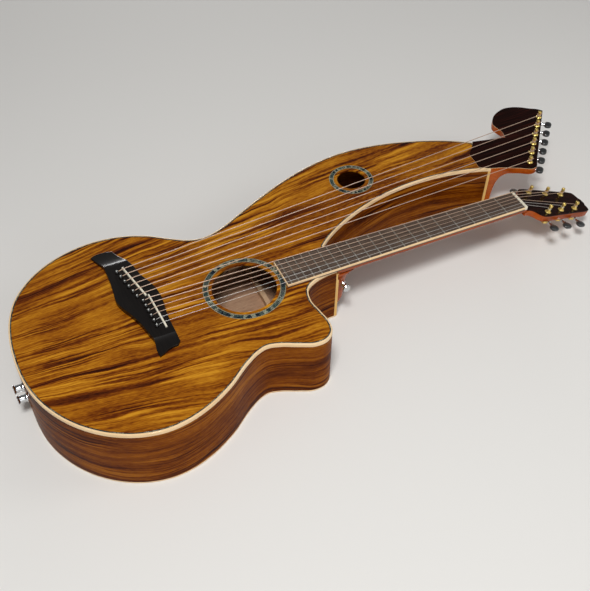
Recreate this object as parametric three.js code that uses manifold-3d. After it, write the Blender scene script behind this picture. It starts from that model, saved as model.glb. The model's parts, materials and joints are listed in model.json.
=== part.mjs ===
// Harp guitar: a six-string guitar whose hollow body runs on into an arm that carries six bass strings.
// Millimetres. In the body frame the soundboard is the plane z = 0, x runs from the tail to the two
// heads, y points to the bass side and the nut of the neck stands at x = 0. The finished part is turned
// by the taper of the body, so that its flat back lies on the plane z = 0 under the middle of its box.
import * as THREE from "three";
import { mergeVertices } from "three/addons/utils/BufferGeometryUtils.js";
import Module from "manifold-3d";

const wasm = await Module();
wasm.setup();

// Joints between pieces
const glueGap = 0.3;
const runningGap = 0.35;
const cutOverrun = 5;

// Strings and scale
const scaleLength = 648;
const fretCount = 20;
const fretsPerOctave = 12;
const neckJointFret = 14;
const guitarStringDiameters = [0.31, 0.41, 0.61, 0.81, 1.07, 1.35];
const harpStringDiameters = [1.4, 1.35, 1.3, 1.25, 1.2, 1.15];
const stringSides = 6;

// Body
const bodyLength = 510;
const armInnerLength = 364;
const armEndSkew = 11;
const lowerBoutHalf = 200;
const bassReach = 242;
const armInnerReach = 113;
const tailDepth = 128;
const armDepth = 103;
const soundboardThickness = 2.9;
const backThickness = 2.8;
const sideThickness = 2.9;
const bindingWidth = 2.3;
const bindingHeight = 6.5;
const backBindingHeight = 3.2;
const liningWidth = 8.2;
const liningHeight = 13;
const soundholeRadius = 50.8;
const soundholeToNeckJoint = 153.6;
const armSoundholeRadius = 25;
const armSoundholeX = -240;
const armSoundholeY = 166;
const soundholeSides = 40;
const armSoundholeSides = 28;

// Bracing and blocks
const braceWidth = 8;
const braceHeight = 13;
const crossBraceAngle = Math.PI / 4;
const crossBraceToSoundhole = 90;
const crossBraceFront = 135;
const crossBraceRear = 205;
const soundholeStrutOffset = 64;
const transverseBraceToCutaway = 4;
const transverseBraceTreble = 118;
const transverseBraceBass = 152;
const armBraceY = 136;
const bridgePlateThickness = 3;
const bridgePlateLength = 46;
const backStripWidth = 20;
const backStripThickness = 2.4;
const backBraceHeight = 12;
const blockLength = 55;
const tailBlockLength = 40;
const tailBlockWidth = 90;

// Neck and fingerboard
const nutWidth = 44.5;
const fingerboardEndWidth = 57.6;
const fingerboardThickness = 6;
const fingerboardRise = 6.3;
const neckSlope = 0.0185;
const fingerboardPastLastFret = 7.5;
const fretWidth = 2.2;
const fretHeight = 1.1;
const fretEndInset = 2.4;
const nutThickness = 5;
const nutRise = 1.4;
const neckDepthAtNut = 15;
const neckDepthAtHeel = 17.5;
const heelReach = 21.5;
const heelHalfWidth = 22;
const heelDrop = 96;
const neckSectionSteps = 12;
const shaftRoundness = 0.8;
const heelRoundness = 0.7;

// Guitar headstock
const headAngle = 0.304;
const faceDrop = 7.5;
const headstockLength = 160;
const headstockHalfWidth = 39.5;
const headstockThickness = 12.5;
const headplateThickness = 2;

// Harp head
const harpHeadLength = 190;
const harpHeadBreadth = 176;
const harpHeadThickness = 11.5;
const harpHeadFlare = 46;
const harpHeelThickness = 9;
const harpHeelDrop = 62;

// Tuners
const postRadius = 3;
const postTipRadius = 3.3;
const postWaistRadius = 2.5;
const guitarPostHeight = 15;
const harpPostHeight = 13;
const windingHeight = 7.5;
const postSides = 10;
const gearTeeth = 16;
const gearRadius = 3.7;
const gearToothDepth = 0.6;
const gearThickness = 3.2;
const wormRadius = 1.5;
const wormLength = 8;
const housingDrop = 7;
const housingWall = 1.1;
const housingBack = 6.2;
const housingFront = 7.2;
const platePadThickness = 1.2;
const stemRadius = 2;
const collarRadius = 3.2;
const collarLength = 3;
const guitarKnobStart = 19;
const harpKnobStart = 14.5;
const knobLength = 13;
const knobWidth = 17;
const knobThickness = 7;
const knobBevel = 1.4;
const guitarPostStations = [46, 83, 120];
const guitarPostOffsets = [28.5, 23.5, 20.5];
const harpPostFromFarCorner = 24.5;
const harpPostPastNearCorner = 12;
const harpPostFromEdge = 5.1;
const harpPostRowLean = 0.043;

// Bridge
const bridgeSpan = 241;
const bridgeBreadth = 76;
const bridgeHeight = 9;
const bridgeWingHeight = 3.6;
const bridgeFrontToSaddle = 10;
const bridgeTrebleY = -79;
const bridgeBassWing = 38;
const bridgeTrebleWing = 32;
const saddleThickness = 2.8;
const saddleSlotDepth = 5;
const saddleRise = 3.4;
const guitarSaddleLength = 72;
const guitarSaddleSkew = 4.5;
const guitarSaddleBassY = 37;
const harpSaddleLength = 72.8;
const harpSaddleSkew = 16;
const harpSaddleBassY = 109;
const harpSaddleSetback = 27;
const guitarStringSpread = 55;
const nutStringSpread = 36.5;
const harpStringSpread = 62;
const pinSetback = 12;

// Fittings
const jackRadius = 6;
const jackFlangeRadius = 7.2;
const jackLength = 15;
const jackBoreRadius = 3.2;
const jackBoreDepth = 12;
const jackShankRadius = 4.6;
const upperJackDrop = 60;
const jackSpacing = 26;
const fittingSides = 16;
const strapButtonRadius = 7;
const strapButtonLength = 12;
const strapButtonDrop = 42;
const strapButtonReach = 11;

// Outlines, as shares of the sizes that they follow.
// Treble side, from the tail round the cutaway: of bodyLength from the tail, and of lowerBoutHalf.
const trebleSideShares = [
  [0, 0], [0.003, 0.15], [0.012, 0.3], [0.053, 0.52], [0.112, 0.745], [0.176, 0.875], [0.249, 0.96],
  [0.325, 1], [0.384, 0.985], [0.447, 0.935], [0.52, 0.85], [0.606, 0.69], [0.639, 0.635],
  [0.671, 0.613], [0.708, 0.635], [0.759, 0.695], [0.806, 0.74], [0.843, 0.73], [0.868, 0.675],
  [0.876, 0.59], [0.867, 0.46], [0.863, 0.33], [0.878, 0.21], [0.922, 0.145], [0.965, 0.125], [1, 0.122],
];
const cutawayThroatShare = trebleSideShares.findLast(([u], i, all) => i > 0 && u < all[i - 1][0])[0];
// Inner edge of the arm, from the neck joint: of armInnerLength, and of armInnerReach.
const armInnerShares = [
  [0, 0.3], [0.055, 0.442], [0.129, 0.584], [0.195, 0.69], [0.266, 0.788], [0.33, 0.858],
  [0.393, 0.912], [0.453, 0.956], [0.514, 0.982], [0.574, 1], [0.684, 1], [0.742, 0.991],
  [0.794, 0.973], [0.898, 0.903], [0.948, 0.858], [1, 0.796],
];
// Outer edge of the arm and bass side, back to the tail: of armReach from the tail, and of bassReach.
const bassSideShares = [
  [1, 0.698], [0.979, 0.752], [0.941, 0.822], [0.902, 0.88], [0.861, 0.93], [0.819, 0.971],
  [0.775, 0.996], [0.729, 1], [0.68, 0.979], [0.629, 0.93], [0.576, 0.864], [0.523, 0.781],
  [0.471, 0.69], [0.42, 0.595], [0.397, 0.562], [0.375, 0.546], [0.357, 0.562], [0.325, 0.64],
  [0.294, 0.719], [0.26, 0.777], [0.224, 0.806], [0.186, 0.814], [0.147, 0.793], [0.107, 0.748],
  [0.062, 0.632], [0.027, 0.5], [0.011, 0.343], [0.002, 0.182], [0, 0.08],
];
// One side of the headstock, from the nut to the tip: of headstockLength, and of headstockHalfWidth.
const headstockShares = [
  [0, 0.563], [0.04, 0.535], [0.08, 0.56], [0.115, 0.67], [0.145, 0.85], [0.18, 0.97], [0.23, 1],
  [0.35, 0.955], [0.55, 0.86], [0.75, 0.775], [0.93, 0.685], [0.962, 0.64], [0.978, 0.5],
  [0.982, 0.3], [1, 0.12],
];
// Harp head: of harpHeadLength from the arm's end, and of harpHeadBreadth from the near edge.
const harpHeadNearShares = [
  [0, 0.182], [0.079, 0.153], [0.253, 0.0625], [0.363, 0.003], [0.405, 0.011], [0.442, 0.057], [0.471, 0.102],
];
const harpHeadHookShares = [
  [1, 0.79], [0.963, 0.841], [0.905, 0.881], [0.826, 0.943], [0.732, 0.989], [0.653, 1], [0.574, 0.977],
  [0.495, 0.932], [0.437, 0.869], [0.405, 0.8], [0.41, 0.73], [0.421, 0.67], [0.41, 0.602], [0.39, 0.55],
];
const harpHeadFarShares = [[0.058, 0.631]];
const harpHeadTongueShares = [[-0.005, 0.54], [-0.074, 0.46], [-0.084, 0.358], [-0.1, 0.25]];
// Bridge: of bridgeBreadth from the rear, and of bridgeSpan from the treble end.
const bridgeShares = [
  [0.5, 0], [0.566, 0.008], [0.724, 0.033], [0.908, 0.041], [0.974, 0.066], [0.96, 0.149],
  [0.96, 0.29], [0.987, 0.378], [1, 0.452], [0.974, 0.527], [0.908, 0.598], [0.816, 0.672],
  [0.737, 0.784], [0.645, 0.867], [0.526, 0.938], [0.474, 0.983], [0.303, 1], [0.158, 1],
  [0, 0.983], [0.079, 0.917], [0.158, 0.855], [0.171, 0.784], [0.171, 0.705], [0.15, 0.6],
  [0.132, 0.51], [0.171, 0.465], [0.289, 0.378], [0.395, 0.282], [0.474, 0.174], [0.513, 0.124],
  [0.487, 0.05],
];
// Heel sections: of heelDrop below the soundboard, of heelReach, and of heelHalfWidth.
const heelShares = [
  [1, 0.4, 0.62], [0.94, 0.66, 0.74], [0.84, 0.84, 0.83], [0.63, 0.95, 0.92], [0.42, 1, 1],
  [0.31, 1.07, 1.07], [0.23, 1.26, 1.14], [0.16, 1.75, 1.2], [0.12, 2.4, 1.2],
];
// Section of a fret: of half its width, and of its height.
const fretShares = [[-1, -1], [1, -1], [1, 0], [0.45, 1], [-0.45, 1], [-1, 0]];
// Underside of the harp head as it sweeps down into its heel: of the flare's length, and of its drop.
const flareShares = [[0, 1], [0.04, 0.7], [0.16, 0.35], [0.36, 0.12], [0.62, 0.02], [1, 0]];
// Knob of a tuner's button: of its width, and of its length from the stem.
const knobShares = [
  [-0.3, 0], [0.3, 0], [0.5, 0.36], [0.46, 0.78], [0.26, 1], [-0.26, 1], [-0.46, 0.78], [-0.5, 0.36],
];
// Strap button: of its head's radius, and of its length from the heel.
const strapButtonShares = [[0, 0], [0.77, 0], [0.5, 0.3], [0.5, 0.6], [1, 0.8], [0.8, 1], [0, 1]];
// Ladder braces of the back: of bodyLength from the tail.
const backBraceShares = [0.2, 0.41, 0.63, 0.81];

// Places that follow from the sizes above.
const fretX = (fret) => -scaleLength * (1 - 2 ** (-fret / fretsPerOctave));
const neckJointX = fretX(neckJointFret);
const tailX = neckJointX - bodyLength;
const armReach = bodyLength + armInnerLength + armEndSkew;
const armEndX = neckJointX + armInnerLength;
const armEndY = armInnerShares.at(-1)[1] * armInnerReach;
const harpHeadNearY = armEndY - harpHeadNearShares[0][1] * harpHeadBreadth;
const fingerboardEndX = fretX(fretCount) - fingerboardPastLastFret;
const soundholeX = neckJointX - soundholeToNeckJoint;
const taper = Math.atan((tailDepth - armDepth) / armReach);
const depthAt = (x) => tailDepth - (x - tailX) * Math.tan(taper);
const backNormal = [-Math.sin(taper), 0, Math.cos(taper)];
const backOffset = -depthAt(0) * Math.cos(taper);
const fingerboardTop = (x) => fingerboardRise - (x - fingerboardEndX) * neckSlope;
const nutEdge = fingerboardTop(0);
const bridgeFrontX = -scaleLength + bridgeFrontToSaddle;
const bridgeRearX = bridgeFrontX - bridgeBreadth;
const wormOffset = gearRadius + wormRadius + runningGap;

// Materials
const finish = (color, roughness, metalness = 0) => (
  new THREE.MeshStandardMaterial({ color, roughness, metalness }));
const stripedWood = finish(0xa86a28, 0.25);
const paleWood = finish(0xd9b98a, 0.7);
const mahogany = finish(0xa85a2a, 0.35);
const darkRosewood = finish(0x2e1c16, 0.35);
const ebony = finish(0x151210, 0.45);
const cream = finish(0xe8d6ab, 0.4);
const bone = finish(0xf1ead8, 0.35);
const gold = finish(0xd8b45a, 0.25, 1);
const blackButton = finish(0x2a2b2c, 0.35);
const chrome = finish(0xc9ccd0, 0.12, 1);
const bronze = finish(0xb58b5a, 0.35, 1);
const steel = finish(0xc4c6c8, 0.3, 1);

// A closed geometry as a solid that can be joined and cut, and back.
function solid(geometry) {
  const bare = geometry.index ? geometry.toNonIndexed() : geometry.clone();
  const points = new THREE.BufferGeometry().setAttribute("position", bare.getAttribute("position"));
  const merged = mergeVertices(points);
  const triVerts = new Uint32Array(merged.index.array);
  const vertProperties = merged.attributes.position.array;
  return new wasm.Manifold(new wasm.Mesh({ numProp: 3, vertProperties, triVerts }));
}

function geometryOf(body) {
  const { vertProperties, triVerts } = body.getMesh();
  const geometry = new THREE.BufferGeometry();
  geometry.setAttribute("position", new THREE.BufferAttribute(vertProperties, 3));
  geometry.setIndex(new THREE.BufferAttribute(triVerts, 1));
  return geometry.toNonIndexed();
}

function piece(name, shape, material) {
  const geometry = shape.isBufferGeometry ? shape : geometryOf(shape);
  geometry.computeVertexNormals();
  const mesh = new THREE.Mesh(geometry, material);
  mesh.name = name;
  return mesh;
}

const planPoint = (x, y) => new THREE.Vector2(x, y);

// A flat outline raised from one height to another.
function slab(outline, bottom, top, holes = []) {
  const shape = new THREE.Shape(outline);
  shape.holes = holes.map((hole) => new THREE.Path(hole));
  const raised = new THREE.ExtrudeGeometry(shape, { depth: top - bottom, bevelEnabled: false });
  return solid(raised.translate(0, 0, bottom));
}

function circle(x, y, radius, sides) {
  const turns = Array.from({ length: sides }, (_, i) => (i * 2 * Math.PI) / sides);
  return turns.map((turn) => planPoint(x + radius * Math.cos(turn), y + radius * Math.sin(turn)));
}

function box(x0, x1, y0, y1, z0, z1) {
  const block = new THREE.BoxGeometry(x1 - x0, y1 - y0, z1 - z0);
  return solid(block.translate((x0 + x1) / 2, (y0 + y1) / 2, (z0 + z1) / 2));
}

// A bar between two points of a plan, with its own width and height.
function bar(from, to, width, bottom, top) {
  const length = from.distanceTo(to);
  const block = new THREE.BoxGeometry(length, width, top - bottom);
  block.rotateZ(Math.atan2(to.y - from.y, to.x - from.x));
  return solid(block.translate((from.x + to.x) / 2, (from.y + to.y) / 2, (bottom + top) / 2));
}

// A turned piece on the z axis, from radius and height pairs.
function turned(profile, sides) {
  const points = profile.map(([radius, height]) => new THREE.Vector2(radius, height));
  return new THREE.LatheGeometry(points, sides).rotateX(Math.PI / 2);
}

// The outline drawn in by a distance, corners kept.
function inset(outline, distance) {
  const sharpestShare = 0.5;
  return outline.map((point, i) => {
    const arriving = point.clone().sub(outline.at(i - 1)).normalize();
    const leaving = outline[(i + 1) % outline.length].clone().sub(point).normalize();
    const inward = new THREE.Vector2(-arriving.y - leaving.y, arriving.x + leaving.x).normalize();
    const lean = Math.max(inward.x * -arriving.y + inward.y * arriving.x, sharpestShare);
    return point.clone().addScaledVector(inward, distance / lean);
  });
}

// Sections of equal count joined into one closed skin, each turning left about the way they advance.
function loft(rings) {
  const count = rings[0].length;
  const last = (rings.length - 1) * count;
  const index = [];
  for (let start = 0; start < last; start += count)
    for (let i = 0; i < count; i += 1) {
      const a = start + i;
      const b = start + ((i + 1) % count);
      index.push(a, b, b + count, a, b + count, a + count);
    }
  for (let i = 1; i + 1 < count; i += 1) index.push(0, i + 1, i, last, last + i, last + i + 1);
  const geometry = new THREE.BufferGeometry().setFromPoints(rings.flat());
  geometry.setIndex(index);
  return geometry;
}

// A path of straight runs, stepped from corner to corner.
class Runs extends THREE.Curve {
  constructor(corners) {
    super();
    this.corners = corners;
  }

  getPoint(t, target = new THREE.Vector3()) {
    const along = t * (this.corners.length - 1);
    const run = Math.min(Math.floor(along), this.corners.length - 2);
    return target.lerpVectors(this.corners[run], this.corners[run + 1], along - run);
  }

  getPointAt(t, target) {
    return this.getPoint(t, target);
  }

  getTangentAt(t, target) {
    return this.getTangent(t, target);
  }
}

function wire(corners, radius) {
  const section = new THREE.Shape(circle(0, 0, radius, stringSides));
  return new THREE.ExtrudeGeometry(section, { steps: corners.length - 1, extrudePath: new Runs(corners) });
}

const aboveBack = (body, height) => body.trimByPlane(backNormal, backOffset + height);
const belowBack = (body, height) => body.trimByPlane(backNormal.map((n) => -n), -backOffset - height);

// Body outline, counterclockwise from the tail: treble side, neck joint, arm, bass side.
function bodyOutline() {
  const treble = trebleSideShares.map(([u, v]) => planPoint(tailX + u * bodyLength, -v * lowerBoutHalf));
  const arm = armInnerShares.map(([u, v]) => planPoint(neckJointX + u * armInnerLength, v * armInnerReach));
  const bass = bassSideShares.map(([u, v]) => planPoint(tailX + u * armReach, v * bassReach));
  return [...treble, ...arm, ...bass];
}

const outline = bodyOutline();
const plateEdge = inset(outline, bindingWidth + glueGap);
const bindingEdge = inset(outline, bindingWidth);
const sideEdge = inset(outline, sideThickness);
const liningEdge = inset(outline, liningWidth);
const insideEdge = inset(outline, liningWidth + glueGap);
const deepest = -tailDepth - cutOverrun;

const body = new THREE.Group();

// Soundboard, with the two soundholes
const soundhole = circle(soundholeX, 0, soundholeRadius, soundholeSides);
const armSoundhole = circle(armSoundholeX, armSoundholeY, armSoundholeRadius, armSoundholeSides);
const soundboard = slab(plateEdge, -soundboardThickness, 0, [soundhole, armSoundhole]);
body.add(piece("soundboard", soundboard, stripedWood));

// Back
body.add(piece("back", belowBack(aboveBack(slab(plateEdge, deepest, 0), 0), backThickness), stripedWood));

// Bindings round the top and back edges
body.add(piece("top_binding", slab(outline, -bindingHeight, 0, [bindingEdge]), cream));
const backRing = slab(outline, deepest, 0, [bindingEdge]);
body.add(piece("back_binding", belowBack(aboveBack(backRing, 0), backBindingHeight), cream));

// Sides, with the linings that carry the plates, and the holes of the two jacks
const jackDrops = [upperJackDrop, upperJackDrop + jackSpacing];
const jackHoles = jackDrops.map((drop) => {
  const drill = turned([[0, -cutOverrun], [jackShankRadius + runningGap, -cutOverrun],
    [jackShankRadius + runningGap, tailBlockLength + liningWidth + cutOverrun],
    [0, tailBlockLength + liningWidth + cutOverrun]], fittingSides);
  return solid(drill.rotateY(Math.PI / 2).translate(tailX, 0, -drop));
});
const withJackHoles = (wall) => jackHoles.reduce((left, hole) => left.subtract(hole), wall);
const wallTop = -bindingHeight - glueGap;
const liningTop = -soundboardThickness - glueGap;
const wall = aboveBack(slab(outline, deepest, wallTop, [sideEdge]), backBindingHeight + glueGap);
const topLining = slab(plateEdge, liningTop - liningHeight, liningTop, [liningEdge]);
const backRingLining = slab(plateEdge, deepest, liningTop, [liningEdge]);
const backLiningFoot = backThickness + glueGap;
const backLining = belowBack(aboveBack(backRingLining, backLiningFoot), backLiningFoot + liningHeight);
body.add(piece("sides", withJackHoles(wall.add(topLining).add(backLining)), stripedWood));

// Bracing under the soundboard: a cross behind the soundhole, struts beside it, a transverse bar,
// a long bar up the arm and the plate under the bridge
function topBracing() {
  const top = -soundboardThickness - glueGap;
  const foot = top - braceHeight;
  const crossing = soundholeX - crossBraceToSoundhole;
  const throatX = tailX + cutawayThroatShare * bodyLength;
  const barX = throatX - liningWidth - transverseBraceToCutaway - braceWidth / 2;
  const along = Math.cos(crossBraceAngle);
  const across = Math.sin(crossBraceAngle);
  const brace = (from, to) => bar(from, to, braceWidth, foot, top);
  const crossBars = [-1, 1].map((side) => brace(
    planPoint(crossing - crossBraceRear * along, -side * crossBraceRear * across),
    planPoint(crossing + crossBraceFront * along, side * crossBraceFront * across)));
  const strutStart = crossing + soundholeStrutOffset / Math.tan(crossBraceAngle);
  const struts = [-1, 1].map((side) => brace(
    planPoint(strutStart, side * soundholeStrutOffset), planPoint(barX, side * soundholeStrutOffset)));
  const transverse = brace(planPoint(barX, -transverseBraceTreble), planPoint(barX, transverseBraceBass));
  const armBar = brace(planPoint(barX, armBraceY), planPoint(armEndX, armBraceY));
  const plateFront = bridgeFrontX - glueGap;
  const plate = box(plateFront - bridgePlateLength, plateFront, bridgeTrebleY, bridgeTrebleY + bridgeSpan,
    top - bridgePlateThickness, top);
  const inside = slab(insideEdge, foot, top);
  return [...struts, transverse, armBar, plate, crossBars[1]].reduce((a, b) => a.add(b), crossBars[0])
    .intersect(inside);
}
body.add(piece("top_bracing", topBracing(), paleWood));

// Ladder bracing of the back, joined by the strip along its seam
function backBracing() {
  const foot = backThickness + glueGap;
  const inside = slab(insideEdge, deepest, 0);
  const layer = (width, height) => belowBack(aboveBack(width, foot), foot + height);
  const stripStart = tailX + tailBlockLength + liningWidth + 2 * glueGap;
  const stripEnd = neckJointX - blockLength - liningWidth - 2 * glueGap;
  const seam = box(stripStart, stripEnd, -backStripWidth / 2, backStripWidth / 2, deepest, 0);
  const strip = layer(seam, backStripThickness);
  const ladders = backBraceShares.map((share) => {
    const x = tailX + share * bodyLength;
    const rung = box(x - braceWidth / 2, x + braceWidth / 2, -lowerBoutHalf, bassReach, deepest, 0);
    return layer(rung, backBraceHeight).intersect(inside);
  });
  return ladders.reduce((a, b) => a.add(b), strip);
}
body.add(piece("back_bracing", backBracing(), paleWood));

// Blocks inside the tail and at the neck joint, between the plates
function block(x0, x1, y0, y1) {
  const filled = slab(insideEdge, deepest, liningTop);
  return aboveBack(filled.intersect(box(x0, x1, y0, y1, deepest, liningTop)), backThickness + glueGap);
}
const pocketTreble = -trebleSideShares.at(-1)[1] * lowerBoutHalf;
const pocketBass = armInnerShares[0][1] * armInnerReach;
const neckBlockStart = neckJointX - liningWidth - glueGap - blockLength;
const neckBlockTreble = pocketTreble + liningWidth + 2 * glueGap;
body.add(piece("neck_block", block(neckBlockStart, neckJointX, neckBlockTreble, pocketBass), mahogany));
const tailBlockEnd = tailX + liningWidth + glueGap + tailBlockLength;
const tailBlock = block(tailX, tailBlockEnd, -tailBlockWidth / 2, tailBlockWidth / 2);
body.add(piece("tail_block", withJackHoles(tailBlock), mahogany));

// Bridge: one ebony base for both sets of strings, with thinned wings and two saddle slots
const harpSaddleX = -scaleLength - harpSaddleSetback;
function saddle({ skew, length, bassX, bassY }, spare, bottom, top) {
  const turn = Math.asin(skew / length);
  const x = bassX + skew / 2;
  const y = bassY - (length * Math.cos(turn)) / 2;
  const blank = new THREE.BoxGeometry(saddleThickness + 2 * spare, length + 2 * spare, top - bottom);
  return solid(blank.rotateZ(turn).translate(x, y, (bottom + top) / 2));
}
const guitarSaddleX = -scaleLength - guitarSaddleSkew - saddleThickness;
const saddleTop = bridgeHeight + saddleRise;
const slotFloor = bridgeHeight - saddleSlotDepth;
const guitarSaddleLine = {
  skew: guitarSaddleSkew, length: guitarSaddleLength, bassX: guitarSaddleX, bassY: guitarSaddleBassY,
};
const harpSaddleLine = {
  skew: harpSaddleSkew, length: harpSaddleLength, bassX: harpSaddleX, bassY: harpSaddleBassY,
};

function bridgeBase() {
  const edge = bridgeShares.map(([u, v]) => (
    planPoint(bridgeRearX + u * bridgeBreadth, bridgeTrebleY + v * bridgeSpan)));
  const wing = (lineY, endY, side) => {
    const fall = (bridgeHeight - bridgeWingHeight) / Math.abs(endY - lineY);
    const normal = new THREE.Vector3(0, -side * fall, -1).normalize();
    return (left) => left.trimByPlane(normal.toArray(), normal.y * lineY + normal.z * bridgeHeight);
  };
  const bassEnd = bridgeTrebleY + bridgeSpan;
  const thinBass = wing(bassEnd - bridgeBassWing, bassEnd, 1);
  const thinTreble = wing(bridgeTrebleY + bridgeTrebleWing, bridgeTrebleY, -1);
  const slots = [guitarSaddleLine, harpSaddleLine].map((line) => saddle(line, glueGap, slotFloor, saddleTop));
  return thinTreble(thinBass(slab(edge, glueGap, bridgeHeight))).subtract(slots[0]).subtract(slots[1]);
}
body.add(piece("bridge", bridgeBase(), ebony));
body.add(piece("guitar_saddle", saddle(guitarSaddleLine, 0, slotFloor + glueGap, saddleTop), bone));
body.add(piece("harp_saddle", saddle(harpSaddleLine, 0, slotFloor + glueGap, saddleTop), bone));

// Frames of the neck, of its tilted headstock and of the harp head. The neck's frame has the playing
// surface of the fingerboard as z = 0, and each head's frame has the face of its head as z = 0.
const neck = new THREE.Group();
neck.position.set(0, 0, nutEdge);
neck.rotation.y = Math.atan(neckSlope);
const headstock = new THREE.Group();
headstock.position.set(nutThickness, 0, -faceDrop);
headstock.rotation.y = headAngle;
neck.add(headstock);
body.add(neck);
const harpFace = glueGap + headplateThickness;
const harpHead = new THREE.Group();
harpHead.position.set(0, 0, harpFace);
body.add(harpHead);
body.updateMatrixWorld(true);
const onNeck = (x, y, z) => new THREE.Vector3(x, y, z).applyMatrix4(neck.matrixWorld);
const onHeadstock = (x, y, z) => new THREE.Vector3(x, y, z).applyMatrix4(headstock.matrixWorld);

const halfWidthAt = (x) => (nutWidth + ((fingerboardEndWidth - nutWidth) * x) / fingerboardEndX) / 2;

// Fingerboard with its frets; the end over the body lies on the soundboard
function fingerboard() {
  const corners = [[fingerboardEndX, -1], [0, -1], [0, 1], [fingerboardEndX, 1]];
  const plan = corners.map(([x, side]) => planPoint(x, side * halfWidthAt(x)));
  const board = slab(plan, -fingerboardThickness, 0);
  const crown = new THREE.Shape(fretShares.map(([u, v]) => planPoint((u * fretWidth) / 2, v * fretHeight)));
  const frets = Array.from({ length: fretCount }, (_, i) => {
    const x = fretX(i + 1);
    const length = 2 * (halfWidthAt(x) - fretEndInset);
    const wireBar = new THREE.ExtrudeGeometry(crown, { depth: length, bevelEnabled: false });
    return solid(wireBar.rotateX(Math.PI / 2).translate(x, length / 2, 0));
  });
  const fretted = frets.reduce((a, b) => a.add(b), board);
  const overBody = new THREE.BoxGeometry(2 * bodyLength, bodyLength, tailDepth);
  overBody.translate(neckJointX + glueGap - bodyLength, 0, glueGap - tailDepth / 2);
  overBody.applyMatrix4(neck.matrixWorld.clone().invert());
  return fretted.subtract(solid(overBody));
}
neck.add(piece("fingerboard", fingerboard(), ebony));

// Nut
const nutFoot = -fingerboardThickness + glueGap;
neck.add(piece("nut", box(glueGap, nutThickness, -nutWidth / 2, nutWidth / 2, nutFoot, nutRise), bone));

// Neck: shaft, heel and headstock in one piece of mahogany
const headOutline = (() => {
  const side = headstockShares.map(([u, v]) => planPoint(u * headstockLength, -v * headstockHalfWidth));
  const mirrored = side.map((point) => planPoint(point.x, -point.y)).reverse();
  return [...side, ...mirrored];
})();
const guitarPosts = [1, -1].flatMap((side) => guitarPostStations.map((x, i) => (
  { x, y: side * guitarPostOffsets[i], side })));
const postHoleRadius = postRadius + runningGap + glueGap;
const guitarPostHoles = guitarPosts.map(({ x, y }) => circle(x, y, postHoleRadius, postSides));

function neckBlank() {
  const shaftTop = -fingerboardThickness - glueGap;
  const shaftStations = [neckJointX - cutOverrun, neckJointX / 2, 0, nutThickness + glueGap];
  const rings = shaftStations.map((x) => {
    const deep = neckDepthAtNut + ((neckDepthAtHeel - neckDepthAtNut) * x) / neckJointX;
    return Array.from({ length: neckSectionSteps + 1 }, (_, i) => {
      const turn = (i * Math.PI) / neckSectionSteps;
      return onNeck(x, -halfWidthAt(x) * Math.cos(turn), shaftTop - deep * Math.sin(turn) ** shaftRoundness);
    });
  });
  const shaft = solid(loft(rings));
  const heelRings = heelShares.map(([down, reach, width]) => {
    const half = Array.from({ length: neckSectionSteps + 1 }, (_, i) => {
      const turn = (i * Math.PI) / neckSectionSteps - Math.PI / 2;
      const x = neckJointX + reach * heelReach * Math.cos(turn) ** heelRoundness;
      return new THREE.Vector3(x, width * heelHalfWidth * Math.sin(turn), -down * heelDrop);
    });
    const inner = [1, -1].map((side) => (
      new THREE.Vector3(neckJointX - cutOverrun, side * width * heelHalfWidth, -down * heelDrop)));
    return [...half, ...inner];
  });
  const heel = solid(loft(heelRings));
  const wood = -headplateThickness - glueGap;
  const head = slab(headOutline, -headstockThickness, wood, guitarPostHoles);
  const headInPlace = solid(geometryOf(head).applyMatrix4(headstock.matrixWorld));
  return shaft.add(heel).add(headInPlace).trimByPlane([1, 0, 0], neckJointX + glueGap);
}
body.add(piece("neck", neckBlank(), mahogany));

// Face veneer of the headstock, from the nut to the tip
const veneerStart = 2 * glueGap + headplateThickness * Math.tan(headAngle);
const veneer = slab(headOutline, -headplateThickness, 0, guitarPostHoles)
  .trimByPlane([1, 0, 0], veneerStart);
headstock.add(piece("headplate", veneer, darkRosewood));

// Harp head: a mahogany plate with a hook, on a heel that closes the end of the arm
const harpPlan = (shares) => shares.map(([u, v]) => (
  planPoint(armEndX + u * harpHeadLength, harpHeadNearY + v * harpHeadBreadth)));
const harpFarCorner = harpPlan(harpHeadHookShares)[0];
const harpEnd = harpFarCorner.clone().sub(harpPlan(harpHeadNearShares).at(-1));
const harpRowAngle = harpEnd.angle() - harpPostRowLean;
const harpRow = planPoint(Math.cos(harpRowAngle), Math.sin(harpRowAngle));
const harpOut = planPoint(harpRow.y, -harpRow.x);
const harpRowLength = harpEnd.length() - harpPostFromFarCorner + harpPostPastNearCorner;
const harpFirstPost = harpFarCorner.clone().addScaledVector(harpRow, -harpPostFromFarCorner)
  .addScaledVector(harpOut, -harpPostFromEdge);
const harpPosts = harpStringDiameters.map((_, i, all) => (
  harpFirstPost.clone().addScaledVector(harpRow, (-i * harpRowLength) / (all.length - 1))));
const harpPostHoles = harpPosts.map(({ x, y }) => circle(x, y, postHoleRadius, postSides));
const harpEdge = [...harpPlan(harpHeadNearShares), ...harpPlan(harpHeadHookShares),
  ...harpPlan(harpHeadFarShares)];

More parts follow.
